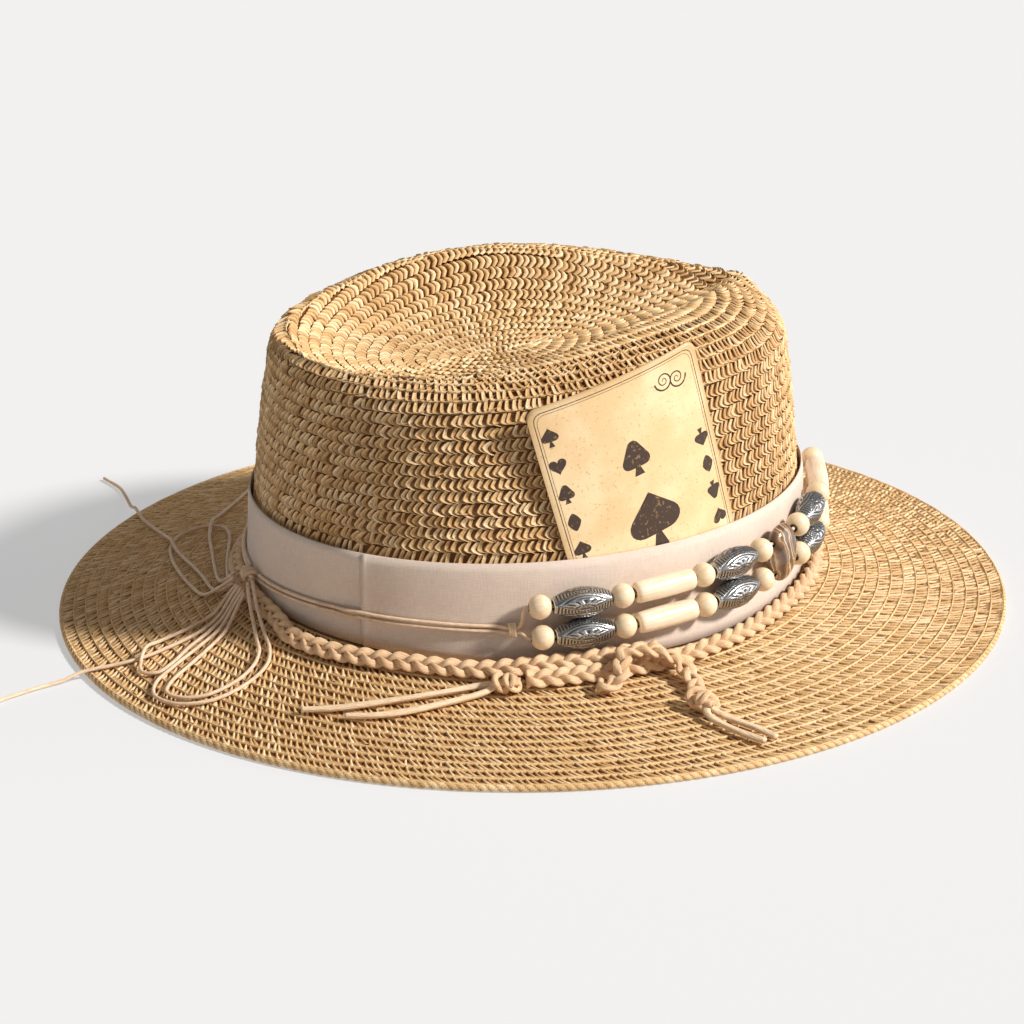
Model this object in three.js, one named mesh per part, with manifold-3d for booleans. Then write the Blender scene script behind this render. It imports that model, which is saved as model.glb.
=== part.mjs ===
// A sewn straw hat with a teardrop crown, a ribbon band, two rows of beads on a tied string,
// a card tucked behind the band and a braided cord laid round the foot of the crown.
// Millimetres, +X to the front of the hat, +Y to the wearer's left, +Z up.
// The origin is on the resting surface, under the middle of the brim.

import * as THREE from "three";
import { mergeVertices } from "three/addons/utils/BufferGeometryUtils.js";
import Module from "manifold-3d";

// Driving sizes
const clearance = 0.3;
const sectors = 44;

const straw = { wall: 2.4 };

const crown = {
  centreX: -3.4,
  footHalfLength: 99.3,
  footHalfWidth: 88.5,
  shoulderHeight: 92,
  ridgeHeight: 112,
  ridgeEndDrop: 8.1,
  ridgePeakX: 6,
  ridgePeakSpread: 52,
};

const brim = {
  halfLength: 168.1,
  halfWidth: 158.7,
  footHeight: 14,
  footWave: 1.6,
  edgeThickness: 2.6,
  restingWidth: 3,
  droopPower: 1.25,
};

const dent = {
  centreX: -25,
  frontLength: 108,
  backLength: 66,
  halfWidth: 55,
  buttonX: -15,
  buttonHalfLength: 12,
  floorHeight: 93,
  sidePower: 4.2,
  frontPower: 1.5,
  pointPower: 1.6,
  pointSharpness: 1.0,
  pointSpread: 0.6,
};

const ribbon = {
  thickness: 0.8,
  standOff: 1.15,
  topHeight: 47.8,
  topTilt: 0.8,
  lapAngle: -151,
  lapLength: 14,
};

const card = {
  width: 63.5,
  height: 86,
  thickness: 0.35,
  cornerRadius: 3.5,
  angle: -92.7,
  centreHeight: 65.8,
  tilt: 16,
  lean: 0.04,
};

const string = { diameter: 1.3 };

const bead = {
  bore: 2.4,
  roundDiameter: 8.2,
  roundLength: 7.6,
  roundFullness: 0.8,
  metalDiameter: 9.8,
  metalLength: 19.6,
  metalEndDiameter: 5.2,
  tubeDiameter: 7.6,
  tubeLength: 22.8,
  tubeRounding: 0.9,
  stoneLength: 17,
  stoneHeight: 19.5,
  stoneThickness: 8,
  rowGap: 10.2,
  gap: 0.45,
  straightLead: 1,
  sides: 10,
};

const strand = {
  stoneAngle: -60.5,
  stoneHeight: 33.4,
  risePerDegree: 0.066,
  sagAllowance: 0.5,
  pairGap: 1.7,
  wrapGap: 4.4,
  wrapLength: 3.2,
  wrapDiameter: 5.2,
  wrapLead: 1.4,
  backWrapHeight: 26.4,
  frontWrapHeight: 33,
  longestStep: 10,
  sides: 6,
};

const bowKnot = { angle: 172.6, height: 23.8, depth: 6, width: 9.2, tall: 5.4 };

const braid = { diameter: 5, sides: 8, step: 13, hiddenStandOff: 3.5, hiddenOver: 2.9, hiddenPoints: 9 };
const tail = { diameter: 2.6, sides: 8, step: 7.5 };
const looseString = { sides: 8, step: 7 };

const leftKnot = { x: -64.6, y: -89.2, over: 3.7, length: 10, width: 7.6, tall: 6.4, turn: 150 };
const rightKnot = { x: -12.4, y: -125, over: 3.8, length: 11, width: 8, tall: 6.8, turn: 105 };

// The crown wall, from the foot up to the shoulder.
// rise is a share of the way from foot to shoulder, length and width are shares of the foot's half sizes.
const WALL_ROWS = [
  { rise: 0.0, length: 1.0, width: 1.0 },
  { rise: 0.22, length: 0.993, width: 0.96 },
  { rise: 0.445, length: 0.99, width: 0.935 },
  { rise: 0.8, length: 0.964, width: 0.896 },
  { rise: 1.0, length: 0.94, width: 0.866 },
];

// How far the dent's rings lie from the button to the ridge, and the shoulder's turn in degrees.
const DENT_RINGS = [0, 0.3, 0.55, 0.8, 1];
const SHOULDER_TURNS = [38, 66];

// How far the brim's rings lie from the crown's foot to the edge.
const BRIM_RINGS = [0, 0.2, 0.5, 0.8];

// The order of the pieces on each bead row, from the stone outwards to the back and to the front.
const BEAD_ORDER = {
  back: ["round", "metal", "round", "tube", "round", "metal", "round"],
  front: ["round", "metal", "round", "tube", "round"],
};

// Plain stretches of the string round the ribbon: angle in degrees, height above the resting surface.
const STRING_BACK_RUN = [
  { angle: -122.3, height: 26 },
  { angle: -136, height: 26.4 },
  { angle: -150.7, height: 26.6 },
  { angle: -167.4, height: 25.3 },
];
const STRING_FAR_RUN = [
  { angle: -7, height: 32.8 },
  { angle: 7, height: 32.2 },
  { angle: 20, height: 31 },
  { angle: 60, height: 28 },
  { angle: 110, height: 26.4 },
  { angle: 150, height: 24.8 },
];

// Routes of the cords, chosen by hand: x, y, and the height of the cord's middle over the straw or the
// surface under it.
const BRAID_FRONT_ROUTE = [
  [-57.6, -90.2, 3.4],
  [-46.4, -93.6, 3.2],
  [-33, -96.4, 3.0],
  [-18, -98.4, 2.9],
  [-3, -98.6, 2.9],
  [19.3, -94.6, 2.9],
  [37.5, -88, 2.9],
  [61.1, -74.6, 2.9],
  [78, -60, 2.9],
];
const BRAID_BACK_ROUTE = [
  [-108.2, -12, 2.9],
  [-109.4, -24.5, 2.9],
  [-104.8, -38.8, 2.9],
  [-95.9, -52.2, 3.0],
  [-85.9, -62.5, 3.0],
  [-77.6, -70.4, 3.0],
  [-67.6, -78.6, 3.4],
  [-54.7, -84.9, 4.4],
  [-42.9, -88.4, 4.6],
  [-29.2, -91.0, 4.6],
  [-18, -92.4, 4.3],
  [-9, -92.8, 3.6],
];
const BRAID_END_ROUTE = [
  [-38, -102.2, 2.9],
  [-35.6, -104.4, 3.0],
  [-31.6, -104.6, 4.6],
  [-28.4, -101.8, 7.3],
  [-25.2, -98.4, 8.8],
  [-20, -98.6, 9.0],
  [-14.6, -100.8, 8.6],
  [-10.0, -103.6, 7.0],
  [-7.4, -106.4, 4.4],
  [-7.6, -112.6, 3.0],
  [-9.7, -118.4, 2.9],
];
const TAIL_ROUTES = {
  tail_left_long: [
    [-71.2, -84.6, 2.2],
    [-83.5, -80.9, 1.7],
    [-99.9, -75.8, 1.7],
    [-115.2, -69.7, 1.7],
    [-125.5, -63.2, 1.7],
  ],
  tail_left_short: [
    [-71.4, -88.2, 2.2],
    [-86.4, -86.2, 1.7],
    [-100.6, -83.1, 1.7],
    [-110.2, -78.6, 1.7],
    [-115.7, -74.6, 1.7],
  ],
  tail_right_long: [
    [-10.6, -131.2, 2.6],
    [-8.2, -135.2, 1.9],
    [-5.9, -139.2, 1.7],
    [-2.8, -145, 1.7],
    [-0.8, -150.8, 1.7],
  ],
  tail_right_short: [
    [-14.2, -131.2, 2.6],
    [-12.9, -136, 1.9],
    [-10.4, -142, 1.7],
    [-7.4, -147.6, 1.7],
    [-5.4, -151.2, 1.7],
  ],
};
const STRING_ROUTES = {
  string_end_low: [
    [-110.9, 10.7, 7.8],
    [-114.6, 10.2, 4.8],
    [-118.8, 8.4, 2.0],
    [-124, 6.0, 1.0],
    [-130.5, 3.9, 1.0],
    [-140.5, 3.0, 1.0],
    [-150.4, 3.2, 1.0],
    [-159.5, 5.4, 1.0],
    [-166.6, 7.6, 1.0],
    [-171, 8.6, 3.0],
    [-177.5, 9.0, 1.3],
    [-185.3, 8.6, 1.0],
    [-193, 7.3, 1.0],
    [-200.7, 5.6, 1.0],
    [-206, 3.9, 1.0],
  ],
  string_end_high: [
    [-111.0, 14.6, 7.6],
    [-113.0, 21, 3.6],
    [-112.0, 30, 1.2],
    [-109.6, 41, 1.0],
    [-107.4, 53, 1.0],
    [-105.4, 66, 1.0],
    [-103.9, 76, 1.8],
    [-102, 84, 2.9],
    [-100, 92, 1.7],
    [-98.3, 104, 1.0],
    [-96.4, 120.4, 1.0],
    [-94.4, 129.5, 1.3],
    [-93, 135.2, 3.2],
    [-91.8, 141, 1.4],
    [-89, 152, 1.0],
    [-87.1, 161.4, 1.0],
    [-88, 174.1, 1.0],
  ],
  string_end_back: [
    [-110.9, 15.8, 9.8],
    [-110.4, 24, 5.2],
    [-107.8, 33, 1.7],
    [-104.2, 43, 1.0],
    [-100.2, 53, 1.0],
    [-95.5, 64, 1.0],
    [-91, 75, 1.0],
    [-86.8, 83.6, 1.8],
    [-82.6, 90.6, 2.9],
    [-77, 97.4, 1.7],
    [-70, 105, 1.0],
    [-60, 114.5, 1.0],
    [-50.8, 123.7, 1.0],
    [-43, 131, 1.0],
  ],
  bow_loop_high: [
    [-109.2, 17.0, 9.8],
    [-107.6, 24, 6.0],
    [-105.2, 31, 2.4],
    [-101.4, 39.4, 1.0],
    [-96.4, 49.6, 1.0],
    [-90.8, 60, 1.0],
    [-85.2, 70.6, 1.0],
    [-81.4, 81, 1.0],
    [-81.8, 89.6, 1.0],
    [-88.4, 93.2, 1.0],
    [-96.4, 90.2, 1.0],
    [-103.6, 81.2, 1.0],
    [-109, 68, 1.0],
    [-112.8, 54, 1.0],
    [-115.4, 40, 1.0],
    [-116.4, 28, 1.3],
    [-115.8, 20.2, 4.8],
    [-111.4, 13.5, 9.9],
  ],
  bow_loop_slim: [
    [-110.9, 12.5, 7.6],
    [-115.4, 12.2, 4.4],
    [-120, 11, 1.6],
    [-126, 10, 1.0],
    [-134, 9.4, 1.0],
    [-142.6, 8.6, 1.4],
    [-148.6, 4.9, 3.3],
    [-153.2, -0.6, 1.6],
    [-155, -6.0, 1.0],
    [-151.4, -9.9, 1.0],
    [-145, -7.8, 1.0],
    [-136, -2.4, 1.0],
    [-127, 1.6, 1.0],
    [-119.6, 5.2, 1.8],
    [-114.4, 8.0, 4.6],
    [-110.8, 8.9, 7.6],
  ],
  bow_loop_outer: [
    [-108.2, 5.9, 9.6],
    [-109.9, 1.0, 7.6],
    [-111.4, -3.5, 5.8],
    [-112.8, -8.6, 3.8],
    [-114.6, -16, 1.5],
    [-117, -24, 1.0],
    [-122.2, -32, 1.0],
    [-133, -37.6, 1.0],
    [-146, -38.4, 1.0],
    [-155.4, -32.6, 1.0],
    [-158.6, -23.4, 1.0],
    [-154.8, -15.8, 1.0],
    [-145.6, -10.2, 1.0],
    [-134, -4.8, 1.0],
    [-122.8, 0.6, 1.3],
    [-115.8, 5.0, 4.2],
    [-110.9, 7.1, 7.2],
  ],
  bow_loop_inner: [
    [-109.8, 6.3, 9.6],
    [-111.7, 1.7, 7.2],
    [-113.4, -3, 5.4],
    [-115.2, -8.6, 3.0],
    [-117.6, -15.6, 1.2],
    [-120.4, -23, 1.0],
    [-126.2, -29.6, 1.0],
    [-135, -33.8, 1.0],
    [-145.8, -34.4, 1.0],
    [-152.6, -30, 1.0],
    [-154.6, -23.8, 1.0],
    [-150.6, -18.8, 1.0],
    [-141.8, -13.6, 1.0],
    [-132, -8.4, 1.0],
    [-122.4, -2.4, 1.2],
    [-116.6, 2.0, 3.9],
    [-111.5, 5.2, 7.1],
  ],
};

const COLOURS = {
  straw: 0xcda56e,
  ribbon: 0xd2bfae,
  card: 0xe8cf9c,
  cord: 0xd2aa82,
  wood: 0xf0dfbe,
  bone: 0xf4e8cf,
  metal: 0x8d8f92,
  stone: 0x6e5a4c,
};

// Small helpers
const degrees = THREE.MathUtils.degToRad;
const mix = THREE.MathUtils.lerp;

function surface(colour, roughness, metalness = 0) {
  return new THREE.MeshStandardMaterial({ color: COLOURS[colour], roughness, metalness });
}

function signedVolume(positions, index) {
  const a = new THREE.Vector3();
  const b = new THREE.Vector3();
  const c = new THREE.Vector3();
  let volume = 0;
  for (let i = 0; i < index.length; i += 3) {
    a.fromArray(positions, index[i] * 3);
    b.fromArray(positions, index[i + 1] * 3);
    c.fromArray(positions, index[i + 2] * 3);
    volume += a.dot(b.cross(c)) / 6;
  }
  return volume;
}

function solidFrom(positions, index) {
  const facing = signedVolume(positions, index) < 0 ? index.slice().reverse() : index;
  const geometry = new THREE.BufferGeometry();
  geometry.setAttribute("position", new THREE.Float32BufferAttribute(positions, 3));
  geometry.setIndex(facing);
  geometry.computeVertexNormals();
  return geometry;
}

// Skins a stack of rings, each a list of points with the same count; joined also closes the last ring
// to the first.
function skinRings(rings, joined) {
  const count = rings[0].length;
  const positions = rings.flat().flatMap((p) => p.toArray());
  const index = [];
  const last = joined ? rings.length : rings.length - 1;
  for (let r = 0; r < last; r += 1) {
    const next = (r + 1) % rings.length;
    for (let s = 0; s < count; s += 1) {
      const a = r * count + s;
      const b = r * count + ((s + 1) % count);
      const c = next * count + s;
      const d = next * count + ((s + 1) % count);
      index.push(a, b, d, a, d, c);
    }
  }
  return solidFrom(positions, index);
}

function sectorAngles() {
  return Array.from({ length: sectors }, (_, i) => (2 * Math.PI * i) / sectors);
}

// The brim's shape
function footHeightAt(angle) {
  return brim.footHeight + brim.footWave * Math.cos(2 * angle);
}

function brimRing(share, angle) {
  const centre = mix(crown.centreX, 0, share);
  const length = mix(crown.footHalfLength, brim.halfLength, share);
  const width = mix(crown.footHalfWidth, brim.halfWidth, share);
  return new THREE.Vector2(centre + length * Math.cos(angle), width * Math.sin(angle));
}

function brimTopAt(share, angle) {
  const drop = (1 - Math.min(Math.max(share, 0), 1)) ** brim.droopPower;
  return mix(brim.edgeThickness, footHeightAt(angle), drop);
}

// The height of what lies under a point of the plan: the straw inside the edge, the surface outside it.
function restAt(x, y) {
  let low = -0.2;
  let high = 1.6;
  for (let i = 0; i < 30; i += 1) {
    const share = (low + high) / 2;
    const centre = mix(crown.centreX, 0, share);
    const length = mix(crown.footHalfLength, brim.halfLength, share);
    const width = mix(crown.footHalfWidth, brim.halfWidth, share);
    const inside = ((x - centre) / length) ** 2 + (y / width) ** 2 < 1;
    if (inside) high = share;
    else low = share;
  }
  const share = (low + high) / 2;
  const angle = Math.atan2(y / brim.halfWidth, x / brim.halfLength);
  return share > 1 ? 0 : brimTopAt(share, angle);
}

function makeBrim() {
  const restingShare = 1 - brim.restingWidth / (brim.halfLength - crown.footHalfLength);
  const ring = (share, height) =>
    sectorAngles().map((t) => {
      const p = brimRing(share, t);
      return new THREE.Vector3(p.x, p.y, height(share, t));
    });
  const inner = (drop) =>
    sectorAngles().map((t) => {
      const x = crown.centreX + (crown.footHalfLength - straw.wall) * Math.cos(t);
      const y = (crown.footHalfWidth - straw.wall) * Math.sin(t);
      return new THREE.Vector3(x, y, footHeightAt(t) - drop);
    });
  const under = (share, t) => brimTopAt(share, t) - straw.wall;
  const rings = [inner(0)];
  for (const share of BRIM_RINGS) rings.push(ring(share, brimTopAt));
  rings.push(ring(1, brimTopAt), ring(1, () => 0), ring(restingShare, () => 0));
  for (const share of BRIM_RINGS.slice().reverse()) rings.push(ring(share, under));
  rings.push(inner(straw.wall));
  return skinRings(rings, true);
}

// The crown's shape
function wallSize(height) {
  const foot = brim.footHeight - brim.footWave;
  const rise = (height - foot) / (crown.shoulderHeight - foot);
  let i = 0;
  while (i < WALL_ROWS.length - 2 && rise > WALL_ROWS[i + 1].rise) i += 1;
  const low = WALL_ROWS[i];
  const high = WALL_ROWS[i + 1];
  const share = (rise - low.rise) / (high.rise - low.rise);
  return {
    length: crown.footHalfLength * mix(low.length, high.length, share),
    width: crown.footHalfWidth * mix(low.width, high.width, share),
  };
}

function wallPoint(angle, height, outwards = 0) {
  const size = wallSize(height);
  const x = crown.centreX + (size.length + outwards) * Math.cos(angle);
  return new THREE.Vector3(x, (size.width + outwards) * Math.sin(angle), height);
}

function wallRowHeight(row) {
  return mix(brim.footHeight - brim.footWave, crown.shoulderHeight, WALL_ROWS[row].rise);
}

function ridgePoint(angle) {
  const forward = Math.cos(angle);
  const point = new THREE.Vector3(
    dent.centreX + dent.backLength * forward, dent.halfWidth * Math.sin(angle), 0);
  if (forward > 0) {
    const turn = Math.abs(Math.atan2(Math.sin(angle), forward)) / (Math.PI / 2);
    const reach = mix(forward, 1 - turn, dent.pointSpread);
    const spread = Math.max(1 - reach ** dent.pointPower, 0) ** dent.pointSharpness;
    const side = Math.sign(Math.round(Math.sin(angle) * 1e6));
    point.set(dent.centreX + dent.frontLength * reach, side * dent.halfWidth * spread, 0);
  }
  const fall = 1 - Math.exp(-(((point.x - crown.ridgePeakX) / crown.ridgePeakSpread) ** 2));
  point.z = crown.ridgeHeight - crown.ridgeEndDrop * fall;
  return point;
}

function dentPoint(angle, share) {
  const button = new THREE.Vector3(
    dent.buttonX + dent.buttonHalfLength * Math.cos(angle), 0, dent.floorHeight);
  const ridge = ridgePoint(angle);
  const frontness = Math.max(Math.cos(angle), 0) ** 2;
  const power = mix(dent.sidePower, dent.frontPower, frontness);
  const point = button.clone().lerp(ridge, share);
  point.z = mix(dent.floorHeight, ridge.z, share ** power);
  return point;
}

function shoulderPoint(angle, turn) {
  const ridge = ridgePoint(angle);
  const wall = wallPoint(angle, crown.shoulderHeight);
  const point = ridge.clone().lerp(wall, Math.sin(degrees(turn)));
  point.z = mix(crown.shoulderHeight, ridge.z, Math.cos(degrees(turn)));
  return point;
}

// Moves a grid of rings inwards by the straw's thickness, along the grid's own normals; a level ring moves
// straight sideways.
function insetRings(rings, depth, levelRings) {
  const count = rings[0].length;
  return rings.map((ring, r) =>
    ring.map((point, s) => {
      const before = rings[Math.max(r - 1, 0)][s];
      const after = rings[Math.min(r + 1, rings.length - 1)][s];
      const along = after.clone().sub(before);
      const round = ring[(s + 1) % count].clone().sub(ring[(s + count - 1) % count]);
      const normal = along.cross(round).normalize();
      if (r === 0) normal.set(0, 0, 1);
      if (levelRings.includes(r)) normal.setZ(0).normalize();
      return point.clone().addScaledVector(normal, -depth);
    }));
}

// The crown in two pieces, its dented top and its side, which meet at the shoulder.
function makeCrown() {
  const angles = sectorAngles();
  const outer = DENT_RINGS.map((share) => angles.map((t) => dentPoint(t, share)));
  for (const turn of SHOULDER_TURNS) outer.push(angles.map((t) => shoulderPoint(t, turn)));
  const shoulder = outer.length;
  outer.push(angles.map((t) => wallPoint(t, crown.shoulderHeight)));
  outer.push(angles.map((t) => wallPoint(t, crown.shoulderHeight - clearance)));
  for (let row = WALL_ROWS.length - 2; row > 0; row -= 1) {
    outer.push(angles.map((t) => wallPoint(t, wallRowHeight(row))));
  }
  outer.push(angles.map((t) => wallPoint(t, footHeightAt(t) + clearance)));
  const inner = insetRings(outer, straw.wall, [shoulder, shoulder + 1, outer.length - 1]);
  const between = (from, to) => [...outer.slice(from, to), ...inner.slice(from, to).reverse()];
  return {
    top: skinRings(between(0, shoulder + 1), false),
    side: skinRings(between(shoulder + 1, outer.length), true),
  };
}

// The ribbon, with one end lapped over the other
function ribbonThickness(angle) {
  const past = THREE.MathUtils.euclideanModulo(THREE.MathUtils.radToDeg(angle) - ribbon.lapAngle, 360);
  const lap = past < ribbon.lapLength ? 1 - past / ribbon.lapLength : 0;
  return ribbon.thickness * (1 + lap);
}

function ribbonOuter(angle, height) {
  return wallPoint(angle, height, ribbon.standOff + ribbon.thickness);
}

function ribbonTopAt(angle) {
  return ribbon.topHeight + ribbon.topTilt * Math.cos(angle);
}

function makeRibbon() {
  const seam = THREE.MathUtils.euclideanModulo(degrees(ribbon.lapAngle), 2 * Math.PI);
  const sliver = 1e-3;
  const angles = [...sectorAngles(), seam - sliver, seam + sliver, seam + degrees(ribbon.lapLength)]
    .sort((a, b) => a - b);
  const bottom = (t) => footHeightAt(t) + 2 * clearance;
  const middle = () => wallRowHeight(1);
  const ring = (height, outwards) => angles.map((t) => wallPoint(t, height(t), outwards(t)));
  const inside = () => ribbon.standOff;
  const outside = (t) => ribbon.standOff + ribbonThickness(t);
  return skinRings([
    ring(bottom, inside), ring(middle, inside), ring(ribbonTopAt, inside),
    ring(ribbonTopAt, outside), ring(middle, outside), ring(bottom, outside),
  ], true);
}

// Distances along an ellipse, measured from angle zero
function ellipseWalker(length, width) {
  const parts = 720;
  const walked = [0];
  for (let i = 1; i <= parts; i += 1) {
    const a = (2 * Math.PI * (i - 1)) / parts - Math.PI;
    const b = (2 * Math.PI * i) / parts - Math.PI;
    const dx = length * (Math.cos(b) - Math.cos(a));
    const dy = width * (Math.sin(b) - Math.sin(a));
    walked.push(walked[i - 1] + Math.hypot(dx, dy));
  }
  const distanceAt = (angle) => {
    const place = ((angle + Math.PI) / (2 * Math.PI)) * parts;
    const i = Math.min(Math.floor(place), parts - 1);
    return mix(walked[i], walked[i + 1], place - i);
  };
  const angleAt = (distance) => {
    let i = 0;
    while (i < parts - 1 && walked[i + 1] < distance) i += 1;
    const share = (distance - walked[i]) / (walked[i + 1] - walked[i]);
    return ((i + share) / parts) * 2 * Math.PI - Math.PI;
  };
  return { distanceAt, angleAt };
}

// The card, bent round the crown and standing straight above the ribbon
function makeCard() {
  const size = wallSize(ribbon.topHeight);
  const walker = ellipseWalker(size.length, size.width);
  const start = walker.distanceAt(degrees(card.angle));
  const tilt = degrees(card.tilt);
  const place = (across, up, layer) => {
    const along = across * Math.cos(tilt) - up * Math.sin(tilt);
    const height = card.centreHeight + across * Math.sin(tilt) + up * Math.cos(tilt);
    const outwards = clearance + card.thickness * layer;
    const angle = walker.angleAt(start + along);
    if (height <= ribbon.topHeight) return wallPoint(angle, height, outwards);
    const rise = height - ribbon.topHeight;
    const point = wallPoint(angle, ribbon.topHeight, outwards - card.lean * rise);
    return point.setZ(height);
  };
  const half = card.width / 2;
  const cornerSteps = [1, 0.7, 0];
  const columns = cornerSteps.map((step) => card.cornerRadius * (1 - step) - half);
  const plain = 7;
  for (let i = 1; i < plain; i += 1) columns.push((half - card.cornerRadius) * ((2 * i) / plain - 1));
  columns.push(...columns.slice(0, 3).map((across) => -across).reverse());
  const reach = (across) => {
    const into = Math.max(Math.abs(across) - (half - card.cornerRadius), 0);
    const rounding = card.cornerRadius - Math.sqrt(Math.max(card.cornerRadius ** 2 - into ** 2, 0));
    return card.height / 2 - rounding;
  };
  const upAt = (across, height) => (height - card.centreHeight - across * Math.sin(tilt)) / Math.cos(tilt);
  const levels = (across) => {
    const edge = reach(across);
    const bend = upAt(across, ribbon.topHeight);
    const low = Math.max(upAt(across, wallRowHeight(1)), mix(-edge, bend, 0.3));
    return [-edge, low, bend, mix(bend, edge, 0.5), edge];
  };
  const up = levels(0).length;
  const outline = (layer) =>
    Array.from({ length: up }, (_, row) => columns.map((u) => place(u, levels(u)[row], layer)));
  const back = outline(0);
  const front = outline(1);
  const positions = [...back.flat(), ...front.flat()].flatMap((p) => p.toArray());
  const across = columns.length;
  const at = (layer, row, column) => layer * across * up + row * across + column;
  const index = [];
  const quad = (a, b, c, d) => index.push(a, b, c, a, c, d);
  for (let r = 0; r < up - 1; r += 1) {
    for (let c = 0; c < across - 1; c += 1) {
      quad(at(1, r, c), at(1, r, c + 1), at(1, r + 1, c + 1), at(1, r + 1, c));
      quad(at(0, r, c), at(0, r + 1, c), at(0, r + 1, c + 1), at(0, r, c + 1));
    }
    quad(at(1, r, 0), at(1, r + 1, 0), at(0, r + 1, 0), at(0, r, 0));
    quad(at(0, r, across - 1), at(0, r + 1, across - 1), at(1, r + 1, across - 1), at(1, r, across - 1));
  }
  for (let c = 0; c < across - 1; c += 1) {
    quad(at(0, 0, c), at(0, 0, c + 1), at(1, 0, c + 1), at(1, 0, c));
    quad(at(1, up - 1, c), at(1, up - 1, c + 1), at(0, up - 1, c + 1), at(0, up - 1, c));
  }
  return solidFrom(positions, index);
}

// Tubes
function tubeOn(extrudePath, diameter, sides, steps) {
  const section = new THREE.Shape();
  for (let i = 0; i < sides; i += 1) {
    const turn = (2 * Math.PI * i) / sides;
    const x = (diameter / 2) * Math.cos(turn);
    const y = (diameter / 2) * Math.sin(turn);
    if (i === 0) section.moveTo(x, y);
    else section.lineTo(x, y);
  }
  section.closePath();
  return new THREE.ExtrudeGeometry(section, { steps, extrudePath, curveSegments: 1 });
}

function tubeByStep(points, diameter, sides, step) {
  const path = new THREE.CatmullRomCurve3(points, false, "centripetal");
  return tubeOn(path, diameter, sides, Math.max(Math.round(path.getLength() / step), 3));
}

function laidPoints(route) {
  return route.map(([x, y, over]) => new THREE.Vector3(x, y, restAt(x, y) + over));
}

// The braid's hidden stretch round the far side
function hiddenBraidPoints() {
  const from = degrees(-18);
  const to = degrees(176);
  const points = [];
  for (let i = 0; i <= braid.hiddenPoints; i += 1) {
    const angle = mix(from, to, i / braid.hiddenPoints);
    const height = footHeightAt(angle) + braid.hiddenOver;
    points.push(ribbonOuter(angle, height).add(
      new THREE.Vector3(Math.cos(angle), Math.sin(angle), 0).multiplyScalar(braid.hiddenStandOff)));
  }
  return points;
}

function makeBraid() {
  const points = [
    ...laidPoints(BRAID_FRONT_ROUTE), ...hiddenBraidPoints(), ...laidPoints(BRAID_BACK_ROUTE),
  ];
  return tubeByStep(points, braid.diameter, braid.sides, braid.step);
}

// Knots, as rounded lumps
function makeKnot(knot) {
  const geometry = new THREE.SphereGeometry(0.5, 10, 7);
  geometry.scale(knot.length, knot.tall, knot.width);
  return geometry;
}

// Beads, turned about their bores
function turned(profile) {
  const points = profile.map(([radius, along]) => new THREE.Vector2(radius, along));
  return new THREE.LatheGeometry([...points, points[0]], bead.sides);
}

function roundBead() {
  const half = bead.roundLength / 2;
  const radius = bead.roundDiameter / 2;
  const bore = bead.bore / 2;
  const waist = [radius * bead.roundFullness, half * bead.roundFullness];
  return turned([
    [bore, -half], [waist[0], -waist[1]], [radius, 0], [waist[0], waist[1]], [bore, half],
  ]);
}

function metalBead() {
  const half = bead.metalLength / 2;
  const radius = bead.metalDiameter / 2;
  const end = bead.metalEndDiameter / 2;
  return turned([
    [bead.bore / 2, -half], [end, -half], [radius, 0], [end, half], [bead.bore / 2, half],
  ]);
}

function tubeBead() {
  const half = bead.tubeLength / 2;
  const radius = bead.tubeDiameter / 2;
  const cut = bead.tubeRounding;
  return turned([
    [bead.bore / 2, -half], [radius - cut, -half], [radius, -half + cut], [radius, half - cut],
    [radius - cut, half], [bead.bore / 2, half],
  ]);
}

const wasm = await Module();
wasm.setup();

function asManifold(geometry) {
  const plain = geometry.clone();
  plain.deleteAttribute("normal");
  plain.deleteAttribute("uv");
  const merged = mergeVertices(plain, 1e-4);
  return new wasm.Manifold(new wasm.Mesh({
    numProp: 3,
    vertProperties: new Float32Array(merged.attributes.position.array),
    triVerts: new Uint32Array(merged.index.array),
  }));
}

function fromManifold(solid) {
  const mesh = solid.getMesh();
  return solidFrom(Array.from(mesh.vertProperties), Array.from(mesh.triVerts));
}

function stoneBead() {
  const body = new THREE.SphereGeometry(0.5, 12, 8);
  body.scale(bead.stoneThickness, bead.stoneLength, bead.stoneHeight);
  let stone = asManifold(body);
  for (const side of [-1, 1]) {
    const drill = new THREE.CylinderGeometry(bead.bore / 2, bead.bore / 2, bead.stoneLength * 2, 8);
    drill.translate(0, 0, (side * bead.rowGap) / 2);
    stone = stone.subtract(asManifold(drill));
  }
  return fromManifold(stone);
}

const BEAD_KINDS = {
  round: { length: bead.roundLength, build: roundBead, finish: () => surface("wood", 0.55) },
  metal: { length: bead.metalLength, build: metalBead, finish: () => surface("metal", 0.35, 1) },
  tube: { length: bead.tubeLength, build: tubeBead, finish: () => surface("bone", 0.4) },
};

// Where the bead rows run: the two ends of every bead, stepped off from the stone along a row
const onRibbon = ribbon.standOff + ribbon.thickness + clearance;

function rowPoint(angle, row) {
  const height = strand.stoneHeight + strand.risePerDegree * (angle - strand.stoneAngle);
  const outwards = onRibbon + bead.metalDiameter / 2 + strand.sagAllowance;
  return wallPoint(degrees(angle), height + (row * bead.rowGap) / 2, outwards);
}

function stepAngle(angle, row, distance, side) {
  const from = rowPoint(angle, row);
  let near = 0;
  let far = 40;
  for (let i = 0; i < 40; i += 1) {
    const turn = (near + far) / 2;
    if (rowPoint(angle + side * turn, row).distanceTo(from) < distance) near = turn;
    else far = turn;
  }
  return angle + side * near;
}

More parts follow.
